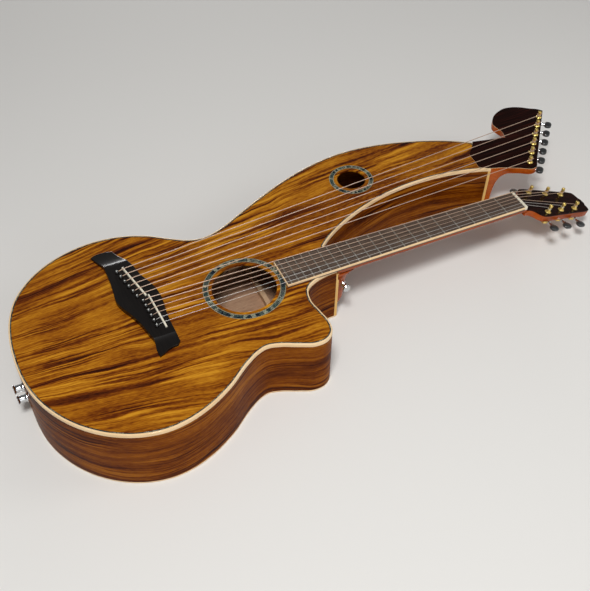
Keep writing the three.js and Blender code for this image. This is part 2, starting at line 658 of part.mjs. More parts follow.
function harpHeadBlank() {
  const endLean = Math.atan2(armEndSkew, bassSideShares[0][1] * bassReach - armEndY);
  const flare = flareShares.map(([u, v]) => (
    planPoint(harpHeelThickness + u * (harpHeadFlare - harpHeelThickness),
      -harpHeadThickness - v * (harpHeelDrop - harpHeadThickness))));
  const beyond = 2 * harpHeadLength;
  const profile = [planPoint(glueGap, 0), planPoint(glueGap, deepest), planPoint(harpHeelThickness, deepest),
    ...flare, planPoint(beyond, -harpHeadThickness), planPoint(beyond, 0)];
  const section = new THREE.Shape(profile);
  const side = new THREE.ExtrudeGeometry(section, { depth: 2 * beyond, bevelEnabled: false });
  side.rotateX(Math.PI / 2).translate(0, beyond, 0).rotateZ(-endLean);
  side.translate(armEndX, armEndY, 0);
  const plan = slab(harpEdge, deepest, 0, harpPostHoles);
  return aboveBack(plan.intersect(solid(side)), backBindingHeight);
}
body.add(piece("harp_head", harpHeadBlank(), mahogany));
const harpVeneerEdge = [...harpEdge, ...harpPlan(harpHeadTongueShares)];
const harpVeneer = slab(harpVeneerEdge, -headplateThickness, 0, harpPostHoles);
harpHead.add(piece("harp_headplate", harpVeneer, darkRosewood));

// Tuners: a toothed post driven by the worm on its button's stem, in housings on one plate for each row.
// In a tuner's frame the post is the z axis, z = 0 is the face of the head, and the button lies along y.
const tunerShape = (thickness, knobStart, postHeight) => {
  const underside = -thickness - glueGap;
  const axis = underside - housingDrop / 2;
  return { underside, axis, knobStart, postHeight };
};
const guitarTuner = tunerShape(headstockThickness, guitarKnobStart, guitarPostHeight);
const harpTuner = tunerShape(harpHeadThickness + harpFace, harpKnobStart, harpPostHeight);

function tunerPost({ axis, postHeight }) {
  const foot = axis - gearThickness / 2;
  const shaft = turned([[0, foot], [postRadius, foot], [postRadius, windingHeight - postRadius],
    [postWaistRadius, windingHeight], [postRadius, windingHeight + postRadius],
    [postTipRadius, postHeight - postRadius / 2], [postWaistRadius, postHeight], [0, postHeight]], postSides);
  const rim = Array.from({ length: 2 * gearTeeth }, (_, i) => {
    const radius = gearRadius - (i % 2) * gearToothDepth;
    const turn = (i * Math.PI) / gearTeeth;
    return planPoint(radius * Math.cos(turn), radius * Math.sin(turn));
  });
  return solid(shaft).add(slab(rim, foot, foot + gearThickness));
}

// The stem starts at its worm, beside the post, and carries a collar and the knob.
function tunerButton({ knobStart }) {
  const worm = -wormLength / 2;
  const collarStart = housingFront + glueGap;
  const stem = turned([[0, worm], [wormRadius, worm], [wormRadius, collarStart], [collarRadius, collarStart],
    [collarRadius, collarStart + collarLength], [stemRadius, collarStart + collarLength],
    [stemRadius, knobStart + knobBevel], [0, knobStart + knobBevel]], postSides);
  const edge = new THREE.Shape(knobShares.map(([u, v]) => (
    planPoint(u * (knobWidth - 2 * knobBevel), v * (knobLength - 2 * knobBevel)))));
  const knob = new THREE.ExtrudeGeometry(edge, { depth: knobThickness - 2 * knobBevel, bevelEnabled: true,
    bevelSegments: 1, bevelThickness: knobBevel, bevelSize: knobBevel });
  knob.translate(0, knobStart + knobBevel, knobBevel - knobThickness / 2);
  return solid(stem.rotateX(-Math.PI / 2)).add(solid(knob));
}

// The plate of one row, with a housing, a gear recess and a worm bore for each tuner of the row.
function tunerPlate({ underside, axis }, places) {
  const floor = underside - housingDrop;
  const farSide = gearRadius + runningGap + housingWall;
  const nearSide = wormOffset + wormRadius + runningGap + housingWall;
  const inPlace = (part, matrix) => solid(geometryOf(part).applyMatrix4(matrix));
  const housing = box(-nearSide, farSide, -housingBack, housingFront, floor, underside);
  const recess = turned([[0, floor + housingWall], [gearRadius + runningGap, floor + housingWall],
    [gearRadius + runningGap, underside + cutOverrun], [0, underside + cutOverrun]], postSides);
  const boreRadius = wormRadius + runningGap;
  const [inner, outer] = [-wormLength / 2 - runningGap, housingFront + cutOverrun];
  const bore = turned([[0, inner], [boreRadius, inner], [boreRadius, outer], [0, outer]], postSides);
  bore.rotateX(-Math.PI / 2).translate(-wormOffset, 0, axis);
  const matrices = places.map((place) => place.matrix);
  const joined = matrices.map((matrix) => inPlace(housing, matrix)).reduce((a, b) => a.add(b));
  const ends = [matrices[0], matrices.at(-1)].map((matrix) => new THREE.Vector3().applyMatrix4(matrix));
  const strip = bar(ends[0], ends[1], housingBack, underside - platePadThickness, underside);
  const cavities = matrices.flatMap((matrix) => [recess, bore].map((tool) => inPlace(solid(tool), matrix)));
  return cavities.reduce((left, cavity) => left.subtract(cavity), joined.add(strip));
}

// Each place turns the button's y axis outward; the worm lies on its -x side.
function tunerPlace(x, y, turn) {
  const place = new THREE.Group();
  place.position.set(x, y, 0);
  place.rotation.z = turn;
  place.updateMatrix();
  return place;
}

function addTuner(head, place, shape, name) {
  const post = piece(name + "_post", tunerPost(shape), gold);
  const button = piece(name + "_button", tunerButton(shape), blackButton);
  button.position.set(-wormOffset, 0, shape.axis);
  place.add(post, button);
  head.add(place);
}

const guitarPlaces = guitarPosts.map(({ x, y, side }) => tunerPlace(x, y, side > 0 ? 0 : Math.PI));
const harpPlaces = harpPosts.map(({ x, y }) => tunerPlace(x, y, Math.atan2(-harpOut.x, harpOut.y)));
// Guitar strings are numbered from the treble side; the bass row carries 6, 5 and 4 from the nut.
const guitarNumbers = [6, 5, 4, 1, 2, 3];
guitarPlaces.forEach((place, i) => {
  addTuner(headstock, place, guitarTuner, `guitar_tuner_${guitarNumbers[i]}`);
});
harpPlaces.forEach((place, i) => {
  addTuner(harpHead, place, harpTuner, `harp_tuner_${i + 1}`);
});
const rows = guitarPostStations.length;
headstock.add(piece("bass_tuner_plate", tunerPlate(guitarTuner, guitarPlaces.slice(0, rows)), gold));
headstock.add(piece("treble_tuner_plate", tunerPlate(guitarTuner, guitarPlaces.slice(rows)), gold));
harpHead.add(piece("harp_tuner_plate", tunerPlate(harpTuner, harpPlaces), gold));

// Strings: up from the pin behind the saddle, over the saddle and, on the neck, over the nut, to the post
const pinTop = bridgeHeight + glueGap;
const stringGap = (radius) => radius + glueGap;
function crossSaddle({ skew, length, bassX, bassY }, share, radius) {
  const x = bassX + skew * share;
  const y = bassY - length * share;
  return [new THREE.Vector3(x - pinSetback, y, pinTop + radius),
    new THREE.Vector3(x, y, saddleTop + stringGap(radius))];
}
guitarPosts.forEach(({ x, y, side }, i) => {
  const number = guitarNumbers[i];
  const radius = guitarStringDiameters[number - 1] / 2;
  const spread = (number - 1) / (guitarStringDiameters.length - 1);
  const margin = (guitarSaddleLength - guitarStringSpread) / 2 / guitarSaddleLength;
  const share = margin + (1 - spread) * (1 - 2 * margin);
  const start = crossSaddle(guitarSaddleLine, share, radius);
  const nutY = (spread - 1 / 2) * nutStringSpread;
  const overNut = [glueGap, nutThickness].map((nutX) => onNeck(nutX, nutY, nutRise + stringGap(radius)));
  const postY = y - side * (postRadius + stringGap(radius));
  const corners = [...start, ...overNut, onHeadstock(x, postY, windingHeight)];
  body.add(piece(`guitar_string_${number}`, wire(corners, radius), number > 2 ? bronze : steel));
});
harpPosts.forEach((post, i) => {
  const radius = harpStringDiameters[i] / 2;
  const margin = (harpSaddleLength - harpStringSpread) / 2 / harpSaddleLength;
  const share = margin + (i / (harpPosts.length - 1)) * (1 - 2 * margin);
  const start = crossSaddle(harpSaddleLine, share, radius);
  const end = new THREE.Vector3(post.x, post.y - postRadius - stringGap(radius), harpFace + windingHeight);
  body.add(piece(`harp_string_${i + 1}`, wire([...start, end], radius), bronze));
});

// Output jacks at the tail, which also hold the strap, and the strap button on the heel
function jack() {
  const flange = jackFlangeRadius - jackRadius;
  const shankEnd = -liningWidth - tailBlockLength;
  const bored = jackLength - jackBoreDepth;
  const shank = [[0, shankEnd], [jackShankRadius, shankEnd], [jackShankRadius, glueGap]];
  const barrel = [[jackFlangeRadius, glueGap], [jackFlangeRadius, glueGap + flange],
    [jackRadius, glueGap + 2 * flange], [jackRadius, jackLength - 2 * flange]];
  const mouth = [[jackFlangeRadius, jackLength - flange], [jackFlangeRadius, jackLength],
    [jackBoreRadius, jackLength], [jackBoreRadius, bored], [0, bored]];
  return turned([...shank, ...barrel, ...mouth], fittingSides);
}
["upper_jack", "lower_jack"].forEach((name, i) => {
  const fitting = piece(name, jack(), chrome);
  fitting.position.set(tailX, 0, -jackDrops[i]);
  fitting.rotation.y = -Math.PI / 2;
  body.add(fitting);
});

const strapSeat = heelHalfWidth + glueGap;
const strapButtonProfile = strapButtonShares.map(([u, v]) => [u * strapButtonRadius, v * strapButtonLength]);
const strapButton = piece("strap_button", turned(strapButtonProfile, fittingSides), chrome);
strapButton.position.set(neckJointX + strapButtonReach, -strapSeat, -strapButtonDrop);
strapButton.rotation.x = Math.PI / 2;
body.add(strapButton);

// The body frame turned onto its back, under the middle of the box of the whole part
const harpGuitar = new THREE.Group();
body.rotation.y = taper;
harpGuitar.add(body);
harpGuitar.updateMatrixWorld(true);
const extent = new THREE.Box3().setFromObject(harpGuitar, true);
const middle = extent.getCenter(new THREE.Vector3());
body.position.set(-middle.x, -middle.y, -extent.min.z);
harpGuitar.updateMatrixWorld(true);

export default harpGuitar;
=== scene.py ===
"""Harp guitar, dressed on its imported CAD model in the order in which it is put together.

Shapes are drawn in millimetres in the frame of the body: the soundboard is the plane z = 0, x runs from
the tail to the two heads, y points to the bass side, and the nut of the neck stands at x = 0. Each piece is
turned and scaled into the row frame, in metres, when it is set in place.
"""
import json
import math

import bmesh
import bpy
from mathutils import Matrix, Vector


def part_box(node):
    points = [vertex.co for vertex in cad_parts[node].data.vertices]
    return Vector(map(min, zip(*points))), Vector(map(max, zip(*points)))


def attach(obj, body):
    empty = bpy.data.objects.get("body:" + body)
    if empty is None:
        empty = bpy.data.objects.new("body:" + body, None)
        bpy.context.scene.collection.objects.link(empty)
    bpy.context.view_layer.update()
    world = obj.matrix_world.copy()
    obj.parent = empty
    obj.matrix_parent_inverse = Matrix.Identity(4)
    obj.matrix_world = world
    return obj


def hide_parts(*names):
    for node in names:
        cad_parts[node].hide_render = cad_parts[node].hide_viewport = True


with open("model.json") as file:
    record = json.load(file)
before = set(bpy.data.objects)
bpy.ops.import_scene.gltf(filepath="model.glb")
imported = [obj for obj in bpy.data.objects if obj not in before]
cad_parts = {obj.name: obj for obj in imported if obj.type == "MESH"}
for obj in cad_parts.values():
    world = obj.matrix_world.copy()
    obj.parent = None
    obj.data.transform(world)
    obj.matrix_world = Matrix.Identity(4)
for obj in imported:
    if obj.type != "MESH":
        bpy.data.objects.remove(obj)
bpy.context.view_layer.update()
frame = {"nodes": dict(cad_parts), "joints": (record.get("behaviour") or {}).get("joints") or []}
scene = bpy.context.scene


# Camera: it looks down on the face of the instrument from beside its tail, at the photograph's angle,
# through a lens of about 51 mm.
def shown(name, data):
    """A new object in the scene."""
    item = bpy.data.objects.new(name, data)
    scene.collection.objects.link(item)
    return item


camera_data = bpy.data.cameras.new("camera")
camera_data.lens = 50.917
camera_data.sensor_width = 36
camera = shown("camera", camera_data)
camera.location = (-0.45197, -0.86040, 1.07462)
camera.rotation_euler = [math.radians(turn) for turn in (42.0338, 0.9701, -24.7292)]
scene.camera = camera
scene.view_settings.view_transform = "Standard"


# Studio: a pale matt floor under a faint even sky. The key lamp hangs high on the player's side and a wide
# low one fills the side walls. One far behind glints in the bridge, the strings and the gold, and a faint
# one over the heads lights the ends.
def colour(red, green, blue):
    """A colour as it is seen, in parts of 255, as the light values that a shader takes."""
    seen = [part / 255 for part in (red, green, blue)]
    return (*(((part + 0.055) / 1.055) ** 2.4 if part > 0.04045 else part / 12.92 for part in seen), 1)


class Shade:
    """A socket that takes part in sums; each sum adds its Math node to the finish."""

    def __init__(self, finish, socket):
        self.finish = finish
        self.socket = socket

    def sum(self, operation, first, second=0.0):
        return self.finish.add("ShaderNodeMath", {"operation": operation}, {0: first, 1: second})

    def __add__(self, other):
        return self.sum("ADD", self, other)

    def __sub__(self, other):
        return self.sum("SUBTRACT", self, other)

    def __rsub__(self, other):
        return self.sum("SUBTRACT", other, self)

    def __mul__(self, other):
        return self.sum("MULTIPLY", self, other)

    def __truediv__(self, other):
        return self.sum("DIVIDE", self, other)

    def __abs__(self):
        return self.sum("ABSOLUTE", self)

    __radd__ = __add__
    __rmul__ = __mul__


class Finish:
    """A material whose shader has its own values, and patterns mixed from nodes."""

    def __init__(self, name, values):
        self.material = bpy.data.materials.new(name)
        self.material.use_nodes = True
        self.tree = self.material.node_tree
        self.shader = self.tree.nodes["Principled BSDF"]
        self.set(values)

    def set(self, values):
        for name, value in values.items():
            self.plug(self.shader.inputs[name], value)

    def plug(self, socket, value):
        if isinstance(value, Shade):
            self.tree.links.new(value.socket, socket)
        else:
            socket.default_value = value

    def add(self, kind, settings, inputs, output=0):
        node = self.tree.nodes.new(kind)
        for name, value in settings.items():
            if name == "stops":
                for i, (place, tone) in enumerate(value):
                    stop = node.color_ramp.elements[i] if i < 2 else node.color_ramp.elements.new(place)
                    stop.position = place
                    stop.color = tone
            else:
                setattr(node, name, value)
        for name, value in inputs.items():
            self.plug(node.inputs[name], value)
        return Shade(self, node.outputs[output])

    def noise(self, x, y, z, detail=2.0):
        """Cloudy values about one half, where each coordinate counts grains."""
        where = self.add("ShaderNodeCombineXYZ", {}, {0: x, 1: y, 2: z})
        return self.add("ShaderNodeTexNoise", {}, {"Vector": where, "Scale": 1.0, "Detail": detail})

    def rise(self, value, low, high):
        """From 0 at the low value to 1 at the high one, smoothly."""
        return self.add("ShaderNodeMapRange", {"interpolation_type": "SMOOTHSTEP"},
                        {"Value": value, "From Min": low, "From Max": high})

    def ramp(self, value, tones):
        """A colour that follows a value, from places and tones in parts of 255."""
        stops = [(place, colour(*tone)) for place, tone in tones]
        return self.add("ShaderNodeValToRGB", {"stops": stops}, {"Fac": value})

    def mix(self, first, second, share, blend="MIX"):
        return self.add("ShaderNodeMix", {"data_type": "RGBA", "blend_type": blend},
                        {0: share, 6: first, 7: second}, 2)

    def bump(self, height, distance):
        return self.add("ShaderNodeBump", {}, {"Height": height, "Distance": distance})

    def along(self, place):
        """The three coordinates, in millimetres, of a frame that is placed in the row frame."""
        spot, turn, scale = place.inverted().decompose()
        here = self.add("ShaderNodeTexCoord", {}, {}, "Object")
        there = self.add("ShaderNodeMapping", {}, {
            "Vector": here, "Location": spot, "Rotation": turn.to_euler(), "Scale": scale})
        apart = self.add("ShaderNodeSeparateXYZ", {}, {"Vector": there})
        return [Shade(self, apart.socket.node.outputs[i]) for i in range(3)]


floor_mesh = bmesh.new()
floor_gap = 0.0005
bmesh.ops.create_circle(floor_mesh, cap_ends=True, segments=64, radius=12,
                        matrix=Matrix.Translation((0, 0, -floor_gap)))
floor_data = bpy.data.meshes.new("floor")
floor_mesh.to_mesh(floor_data)
floor_mesh.free()
floor = shown("floor", floor_data)
floor_finish = Finish("studio_floor", {"Base Color": colour(230, 228, 224), "Roughness": 0.9})
floor_data.materials.append(floor_finish.material)

sky = bpy.data.worlds.new("sky")
sky.use_nodes = True
sky.node_tree.nodes["Background"].inputs["Color"].default_value = (1, 1, 1, 1)
sky.node_tree.nodes["Background"].inputs["Strength"].default_value = 0.15
scene.world = sky


def lamp(name, place, aim, size, power):
    light = bpy.data.lights.new(name, "AREA")
    light.shape = "RECTANGLE"
    light.size, light.size_y = size
    light.energy = power
    stand = shown(name, light)
    stand.location = place
    stand.rotation_euler = (Vector(aim) - Vector(place)).to_track_quat("-Z", "Y").to_euler()


lamp("key", (-0.55, -0.9, 2.35), (0, 0, 0.1), (0.5, 0.5), 42)
lamp("player_side", (-0.3, -2.2, 1.0), (0, 0, 0.1), (1.6, 1.6), 12)
lamp("far_behind", (0.7, 3.2, 0.4), (0, 0, 0.1), (1.4, 0.45), 30)
lamp("over_heads", (1.9, -0.9, 1.4), (0.3, 0, 0.1), (0.8, 0.8), 8)


# Sides: thin bent walls of the same striped wood as the plates, glued to a pale lining along the top and
# bottom edge. Cream strips cover the corners where walls meet, at the neck joint and at the end of the arm.
def lean_of(node):
    """How far the broad upper face of a node leans about the y axis."""
    nearly_level = 0.9
    up = Vector()
    for face in frame["nodes"][node].data.polygons:
        if face.normal.z > nearly_level:
            up += face.normal * face.area
    return math.atan2(up.x, up.z)


def points_in(node, place):
    """The corners of a node in a frame that is placed in the row frame."""
    back = place.inverted()
    return [back @ corner.co for corner in frame["nodes"][node].data.vertices]


def placed(spot, lean):
    """A frame in millimetres at a spot of the row frame, leaning about the y axis."""
    return Matrix.Translation(spot) @ Matrix.Rotation(lean, 4, "Y") @ Matrix.Scale(0.001, 4)


def pairs(loop):
    """Each item of a closed loop with the next one."""
    return zip(loop, loop[1:] + loop[:1])


def length_round(loop):
    return sum((a - b).length for a, b in pairs(loop))


def rims(node, place, height):
    """The closed edges of a node's face at one height of a frame, counterclockwise, longest first."""
    near = 0.05
    mesh = bmesh.new()
    mesh.from_mesh(frame["nodes"][node].data)
    mesh.transform(place.inverted())
    bmesh.ops.remove_doubles(mesh, verts=mesh.verts, dist=near)
    flat = {face for face in mesh.faces if all(abs(v.co.z - height) < near for v in face.verts)}
    rim = [edge for edge in mesh.edges if sum(face in flat for face in edge.link_faces) == 1]
    loops = []
    while rim:
        edge = rim.pop(0)
        start, here = edge.verts
        loop = [start.co.xy]
        while here != start:
            loop.append(here.co.xy)
            edge = next(other for other in here.link_edges if other in rim)
            rim.remove(edge)
            here = edge.other_vert(here)
        area = sum(a.cross(b) for a, b in pairs(loop))
        loops.append(loop if area > 0 else loop[::-1])
    mesh.free()
    return sorted(loops, key=length_round, reverse=True)


def bends(loop):
    """The runs from each point of a loop to the next one, and the turn at each point."""
    runs = [after - here for here, after in pairs(loop)]
    return runs, [before.angle_signed(after) for before, after in zip(runs[-1:] + runs, runs)]


def evened(loop, gentle=25, longest=90, reach=1.5, rounds=8):
    """The loop with its gentle bends evened out. A point moves toward the curve through the two points on
    either side of it, no further than the reach. Sharper bends, long runs and outermost points stay."""
    count = len(loop)
    turns = [abs(turn) for turn in bends(loop)[1]]
    limits = [Vector(map(min, *loop)), Vector(map(max, *loop))]
    points = list(loop)
    for _ in range(rounds):
        for i, start in enumerate(loop):
            near = [points[(i + k) % count] for k in range(-2, 3)]
            steps = [(b - a).length for a, b in zip(near, near[1:])]
            sharpest = max(turns[i - 1], turns[i], turns[(i + 1) % count])
            outermost = any(start[k] == limit[k] for k in range(2) for limit in limits)
            if outermost or max(steps) > longest or sharpest > math.radians(gentle):
                continue
            places = [-steps[0] - steps[1], -steps[1], 0, steps[2], steps[2] + steps[3]]
            curve = Vector((0, 0))
            for k in (0, 1, 3, 4):
                others = [places[j] for j in (0, 1, 3, 4) if j != k]
                curve += near[k] * math.prod(place / (place - places[k]) for place in others)
            move = (points[i] + curve) / 2 - start
            if move.length > reach:
                move *= reach / move.length
            points[i] = Vector(map(max, limits[0], Vector(map(min, limits[1], start + move))))
    return points


def faired(loop, spacing, sharpest=48, longest=90, clear=0.0):
    """An outline drawn smoothly through its points. Sharp corners and long runs stay as they are, and
    no point stands within the clear distance of an outer corner, so that the outline can be drawn in."""
    count = len(loop)
    runs, turns = bends(loop)
    sharp = [abs(turn) > math.radians(sharpest) for turn in turns]
    outer = [turn < -math.radians(sharpest) for turn in turns]
    low = Vector(map(min, *loop))
    high = Vector(map(max, *loop))

    def through(i, run):
        before, after = runs[i - 1], runs[i % count]
        if sharp[i % count]:
            return None
        if max(before.length, after.length) > longest:
            return max(before, after, key=lambda part: part.length).normalized()
        share = before.length / (before.length + after.length)
        return (before.normalized() * (1 - share) + after.normalized() * share).normalized()

    drawn = []
    first = sharp.index(True) if True in sharp else 0
    for i in range(first, first + count):
        run = runs[i % count]
        way = run.normalized()
        leaving, arriving = through(i % count, run), through((i + 1) % count, run)
        if leaving is None:
            leaving = way if arriving is None else 2 * way * way.dot(arriving) - arriving
        if arriving is None:
            arriving = 2 * way * way.dot(leaving) - leaving
        steps = max(1, math.ceil(run.length / spacing))
        start, end = loop[i % count], loop[(i + 1) % count]
        for step in range(steps):
            t = step / steps
            from_start = run.length * t if outer[i % count] and step else clear
            to_end = run.length * (1 - t) if outer[(i + 1) % count] else clear
            if min(from_start, to_end) < clear:
                continue
            # A curve that leaves one point and arrives at the next along their own ways
            point = (start * (2 * t**3 - 3 * t**2 + 1) + end * (3 * t**2 - 2 * t**3)
                     + leaving * run.length * (t**3 - 2 * t**2 + t) + arriving * run.length * (t**3 - t**2))
            drawn.append(Vector(map(max, low, Vector(map(min, high, point)))))
    return drawn


def drawn_in(loop, distance):
    """The loop moved to its left, which is inward where it runs counterclockwise."""
    mitre_limit = 0.5
    moved = []
    for i, point in enumerate(loop):
        before = (point - loop[i - 1]).normalized()
        after = (loop[(i + 1) % len(loop)] - point).normalized()
        left = Vector((-before.y - after.y, before.x + after.x)).normalized()
        moved.append(point + left * distance / max(left.dot(Vector((-before.y, before.x))), mitre_limit))
    return moved


def level(loop, distance, height):
    """The points of a loop drawn in by a distance, at a height that may change with the place."""
    return [(*point, height(point) if callable(height) else height) for point in drawn_in(loop, distance)]


def hoop(mesh, points):
    """New corners, joined into a closed chain."""
    verts = [mesh.verts.new(point) for point in points]
    for pair in pairs(verts):
        mesh.edges.new(pair)
    return verts


def chain(mesh, verts):
    return [mesh.edges.get(pair) for pair in pairs(verts)]


def drawn_out(mesh, verts, points):
    """The closed chain extruded to new points, and the corners that it ends in."""
    grown = bmesh.ops.extrude_edge_only(mesh, edges=chain(mesh, verts))["geom"]
    fresh = {part for part in grown if isinstance(part, bmesh.types.BMVert)}
    ends = []
    for vert, point in zip(verts, points):
        end = next(edge.other_vert(vert) for edge in vert.link_edges if edge.other_vert(vert) in fresh)
        end.co = point
        ends.append(end)
    return ends


def skin(rings, closed=False):
    """One shell through rings of points. Its ends are capped, or joined to each other where it is closed."""
    mesh = bmesh.new()
    first = last = hoop(mesh, rings[0])
    for ring in rings[1:] + rings[:closed]:
        last = drawn_out(mesh, last, ring)
    if closed:
        bmesh.ops.remove_doubles(mesh, verts=mesh.verts, dist=0.0001)
    else:
        for end in (first, last):
            bmesh.ops.triangle_fill(mesh, use_beauty=True, edges=chain(mesh, end))
    bmesh.ops.recalc_face_normals(mesh, faces=mesh.faces)
    return mesh


def lifted(height, by):
    """A height, or a rule for heights, raised."""
    return (lambda point: height(point) + by) if callable(height) else height + by


def put(name, mesh, place, finish, nodes=(), body="instrument", sharp=40, inside=None):
    """Sets a shape in place as a piece that rides on a body and stands for its nodes."""
    mesh.transform(place)
    data = bpy.data.meshes.new(name)
    data.materials.append(finish.material)
    if inside:
        data.materials.append(inside.material)
    mesh.to_mesh(data)
    mesh.free()
    data.set_sharp_from_angle(angle=math.radians(sharp))
    piece = shown(name, data)
    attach(piece, body)
    if nodes:
        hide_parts(*nodes)
    return piece


taper = lean_of("soundboard")
turned_only = placed((0, 0, 0), taper)
board_points = points_in("fingerboard", turned_only)
brow = max(board_points, key=lambda point: point.x)
nut_spot = Vector((
    brow.x, sum(point.y for point in board_points) / len(board_points),
    max(point.z for point in points_in("soundboard", turned_only))))
body = placed(turned_only @ nut_spot, taper)

side_thickness = 2.9
outline_spacing = 3
corner_clearance = 9
raw_outline = rims("top_binding", body, 0)[0]
outline = faired(evened(raw_outline), outline_spacing, clear=corner_clearance)
tail_x = min(point.x for point in outline)
back_slope = math.tan(taper)


def above_back(height):
    """Heights over the plane of the flat back, which lies on the floor."""
    start = body.inverted() @ Vector((0, 0, 0))
    return lambda point: start.z + (point[0] - start.x) * back_slope + height


def striped(finish, across, along, plank, tones, bands=13.0, bold=()):
    """Wood with dark streaks, from places across and along the grain in millimetres. The plank tells which
    piece of the log it is. A bold streak has its plank, lane, half width, start, end and depth."""
    deep = plank * 2.3
    wander = finish.noise(along / 130, across / 60, deep) - 0.5
    lane = across + wander * 18

    def grain(width, length, layer):
        return finish.noise(lane / width, along / length, deep + layer, 1.0)

    broad = grain(bands, 420, 0) - 0.5
    streak = grain(4.6, 150, 7) - 0.5
    line = grain(1.9, 75, 13) - 0.5
    dash = grain(1.2, 9, 3) - 0.5
    lively = finish.rise(grain(34, 170, 21), 0.4, 0.6)
    pore = finish.rise(grain(0.5, 7, 5), 0.66, 0.76)
    cloud = finish.noise(across / 55, along / 70, deep + 31, 1.0) - 0.5
    tone = 0.53 + broad * 0.8 + dash * 0.5 + cloud * 0.4
    tone = tone + streak * (lively * 1.5 + 0.35) + line * (lively * 0.7 + 0.5)
    for number, centre, half_width, start, end, depth in bold:
        beside = 1 - finish.rise(abs(lane - centre) / half_width, 0.3, 1.2)
        reach = finish.rise(along, start, start + 60) * (1 - finish.rise(along, end - 60, end))
        tone = tone - beside * reach * (1 - abs(plank - number)) * depth
    wood = finish.ramp(tone, tones)
    return finish.mix(wood, colour(52, 20, 4), pore * 0.4), pore


lacquer = {"Roughness": 0.4, "Specular IOR Level": 0.0, "Coat Weight": 0.8, "Coat Roughness": 0.05,
           "Coat IOR": 1.4}
pore_depth = 0.00003
side_plank = 2
side_bands = 17
side_finish = Finish("side_wood", lacquer | {"Coat Weight": 0.22})
side_run = side_finish.add("ShaderNodeAttribute", {"attribute_name": "run"}, {}, "Fac")
side_z = side_finish.along(body)[2]
side_tones = [(0.05, (42, 12, 1)), (0.34, (85, 35, 1)), (0.52, (108, 52, 3)), (0.68, (128, 67, 6)),
              (0.92, (152, 90, 16))]
side_colour, side_pores = striped(side_finish, side_z, side_run, side_plank, side_tones, side_bands)
side_finish.set({"Base Color": side_colour, "Normal": side_finish.bump(1 - side_pores, pore_depth)})


def band(ring):
    """A closed band along the outline, from pairs of a distance inward and a height."""
    return skin([level(outline, distance, height) for distance, height in ring], closed=True)


def spot_of(point):
    """A place rounded so that it can be looked up."""
    return round(point[0], 3), round(point[1], 3)


wall_top = -6.5
wall_foot = above_back(3.2)
wall = band([(0, wall_top), (0, wall_foot), (side_thickness, wall_foot), (side_thickness, wall_top)])

# The streaks follow the wall, so each of its corners keeps how far it stands along the outline.
run_layer = wall.verts.layers.float.new("run")
way_round = length_round(outline)
gone = 0.0
run_at = {}
for (outer, following), inner in zip(pairs(outline), drawn_in(outline, side_thickness)):
    run_at[spot_of(outer)] = run_at[spot_of(inner)] = min(gone, way_round - gone)
    gone += (following - outer).length
for vert in wall.verts:
    vert[run_layer] = run_at[spot_of(vert.co)]
put("side_walls", wall, body, side_finish, ["sides"])


def grained(name, values, grain, tones, detail=2.0, relief=0.0):
    """A finish that drifts through its tones, with the grain's size along each axis in millimetres."""
    finish = Finish(name, values)
    x, y, z = finish.along(body)
    drift = finish.noise(x / grain[0], y / grain[1], z / grain[2], detail)
    finish.set({"Base Color": finish.ramp(drift, tones)})
    if relief:
        finish.set({"Normal": finish.bump(drift, relief)})
    return finish


strip_finish = grained("corner_strip_cream", lacquer, (9, 9, 60), [
    (0.3, (216, 168, 92)), (0.7, (232, 190, 116))])
strip_width = 4.6
strip_proud = 0.05
widest_corner = 135
corner_count = 0
neighbours = zip(raw_outline[-1:] + raw_outline[:-1], raw_outline, raw_outline[1:] + raw_outline[:1])
for before, corner, after in neighbours:
    back_way, way = (before - corner).normalized(), (after - corner).normalized()
    if back_way.angle(way) > math.radians(widest_corner):
        continue
    corner_count += 1
    across_corner = (back_way + way) * strip_width
    if (corner - before).angle_signed(after - corner) > 0:
        across_corner = -across_corner
    column = [corner + back_way * strip_width, corner, corner + way * strip_width, corner + across_corner]
    strip_mesh = skin([level(column, -strip_proud, height) for height in (wall_foot, wall_top)])
    put(f"corner_strip_{corner_count}", strip_mesh, body, strip_finish, [])

lining_finish = grained("lining_wood", {"Roughness": 0.7}, (20, 20, 0.8), [
    (0.3, (196, 156, 118)), (0.7, (222, 186, 148))])
lining_reach = 8.2
lining_height = 13
under_top = -3.2
over_back = 3.1
for name, top, low, bevel in [
        ("top_lining", under_top, under_top - lining_height, 4.2),
        ("back_lining", above_back(over_back + lining_height), above_back(over_back), 0)]:
    ring = [(side_thickness, top), (lining_reach, top), (lining_reach, lifted(low, bevel)),
            (side_thickness, low)]
    put(name, band(ring), body, lining_finish, [])


# Back: one flat plate of the striped wood, lacquered outside and bare inside, where it shows pale through
# the soundhole. A cream binding closes its edge.
def plate(loops, bottom, top, rounding=0.3):
    """A flat piece within its first loop, with its other loops as holes and its upper edges rounded. A
    narrow level ring beside the rounding keeps the shading of the face flat."""
    mesh = bmesh.new()
    floors, roofs = [], []
    edge = [(0, rounding), (rounding * 0.3, rounding * 0.3), (rounding, 0), (rounding * 1.3, 0)]
    for i, loop in enumerate(loops):
        way = loop if i == 0 else loop[::-1]
        first = last = hoop(mesh, level(way, 0, bottom))
        for distance, drop in edge:
            last = drawn_out(mesh, last, level(way, distance, lifted(top, -drop)))
        floors += chain(mesh, first)
        roofs += chain(mesh, last)
    bmesh.ops.triangle_fill(mesh, use_beauty=True, edges=floors)
    bmesh.ops.triangle_fill(mesh, use_beauty=True, edges=roofs)
    bmesh.ops.recalc_face_normals(mesh, faces=mesh.faces)
    return mesh


fan_length = 735
seam_half = 0.05


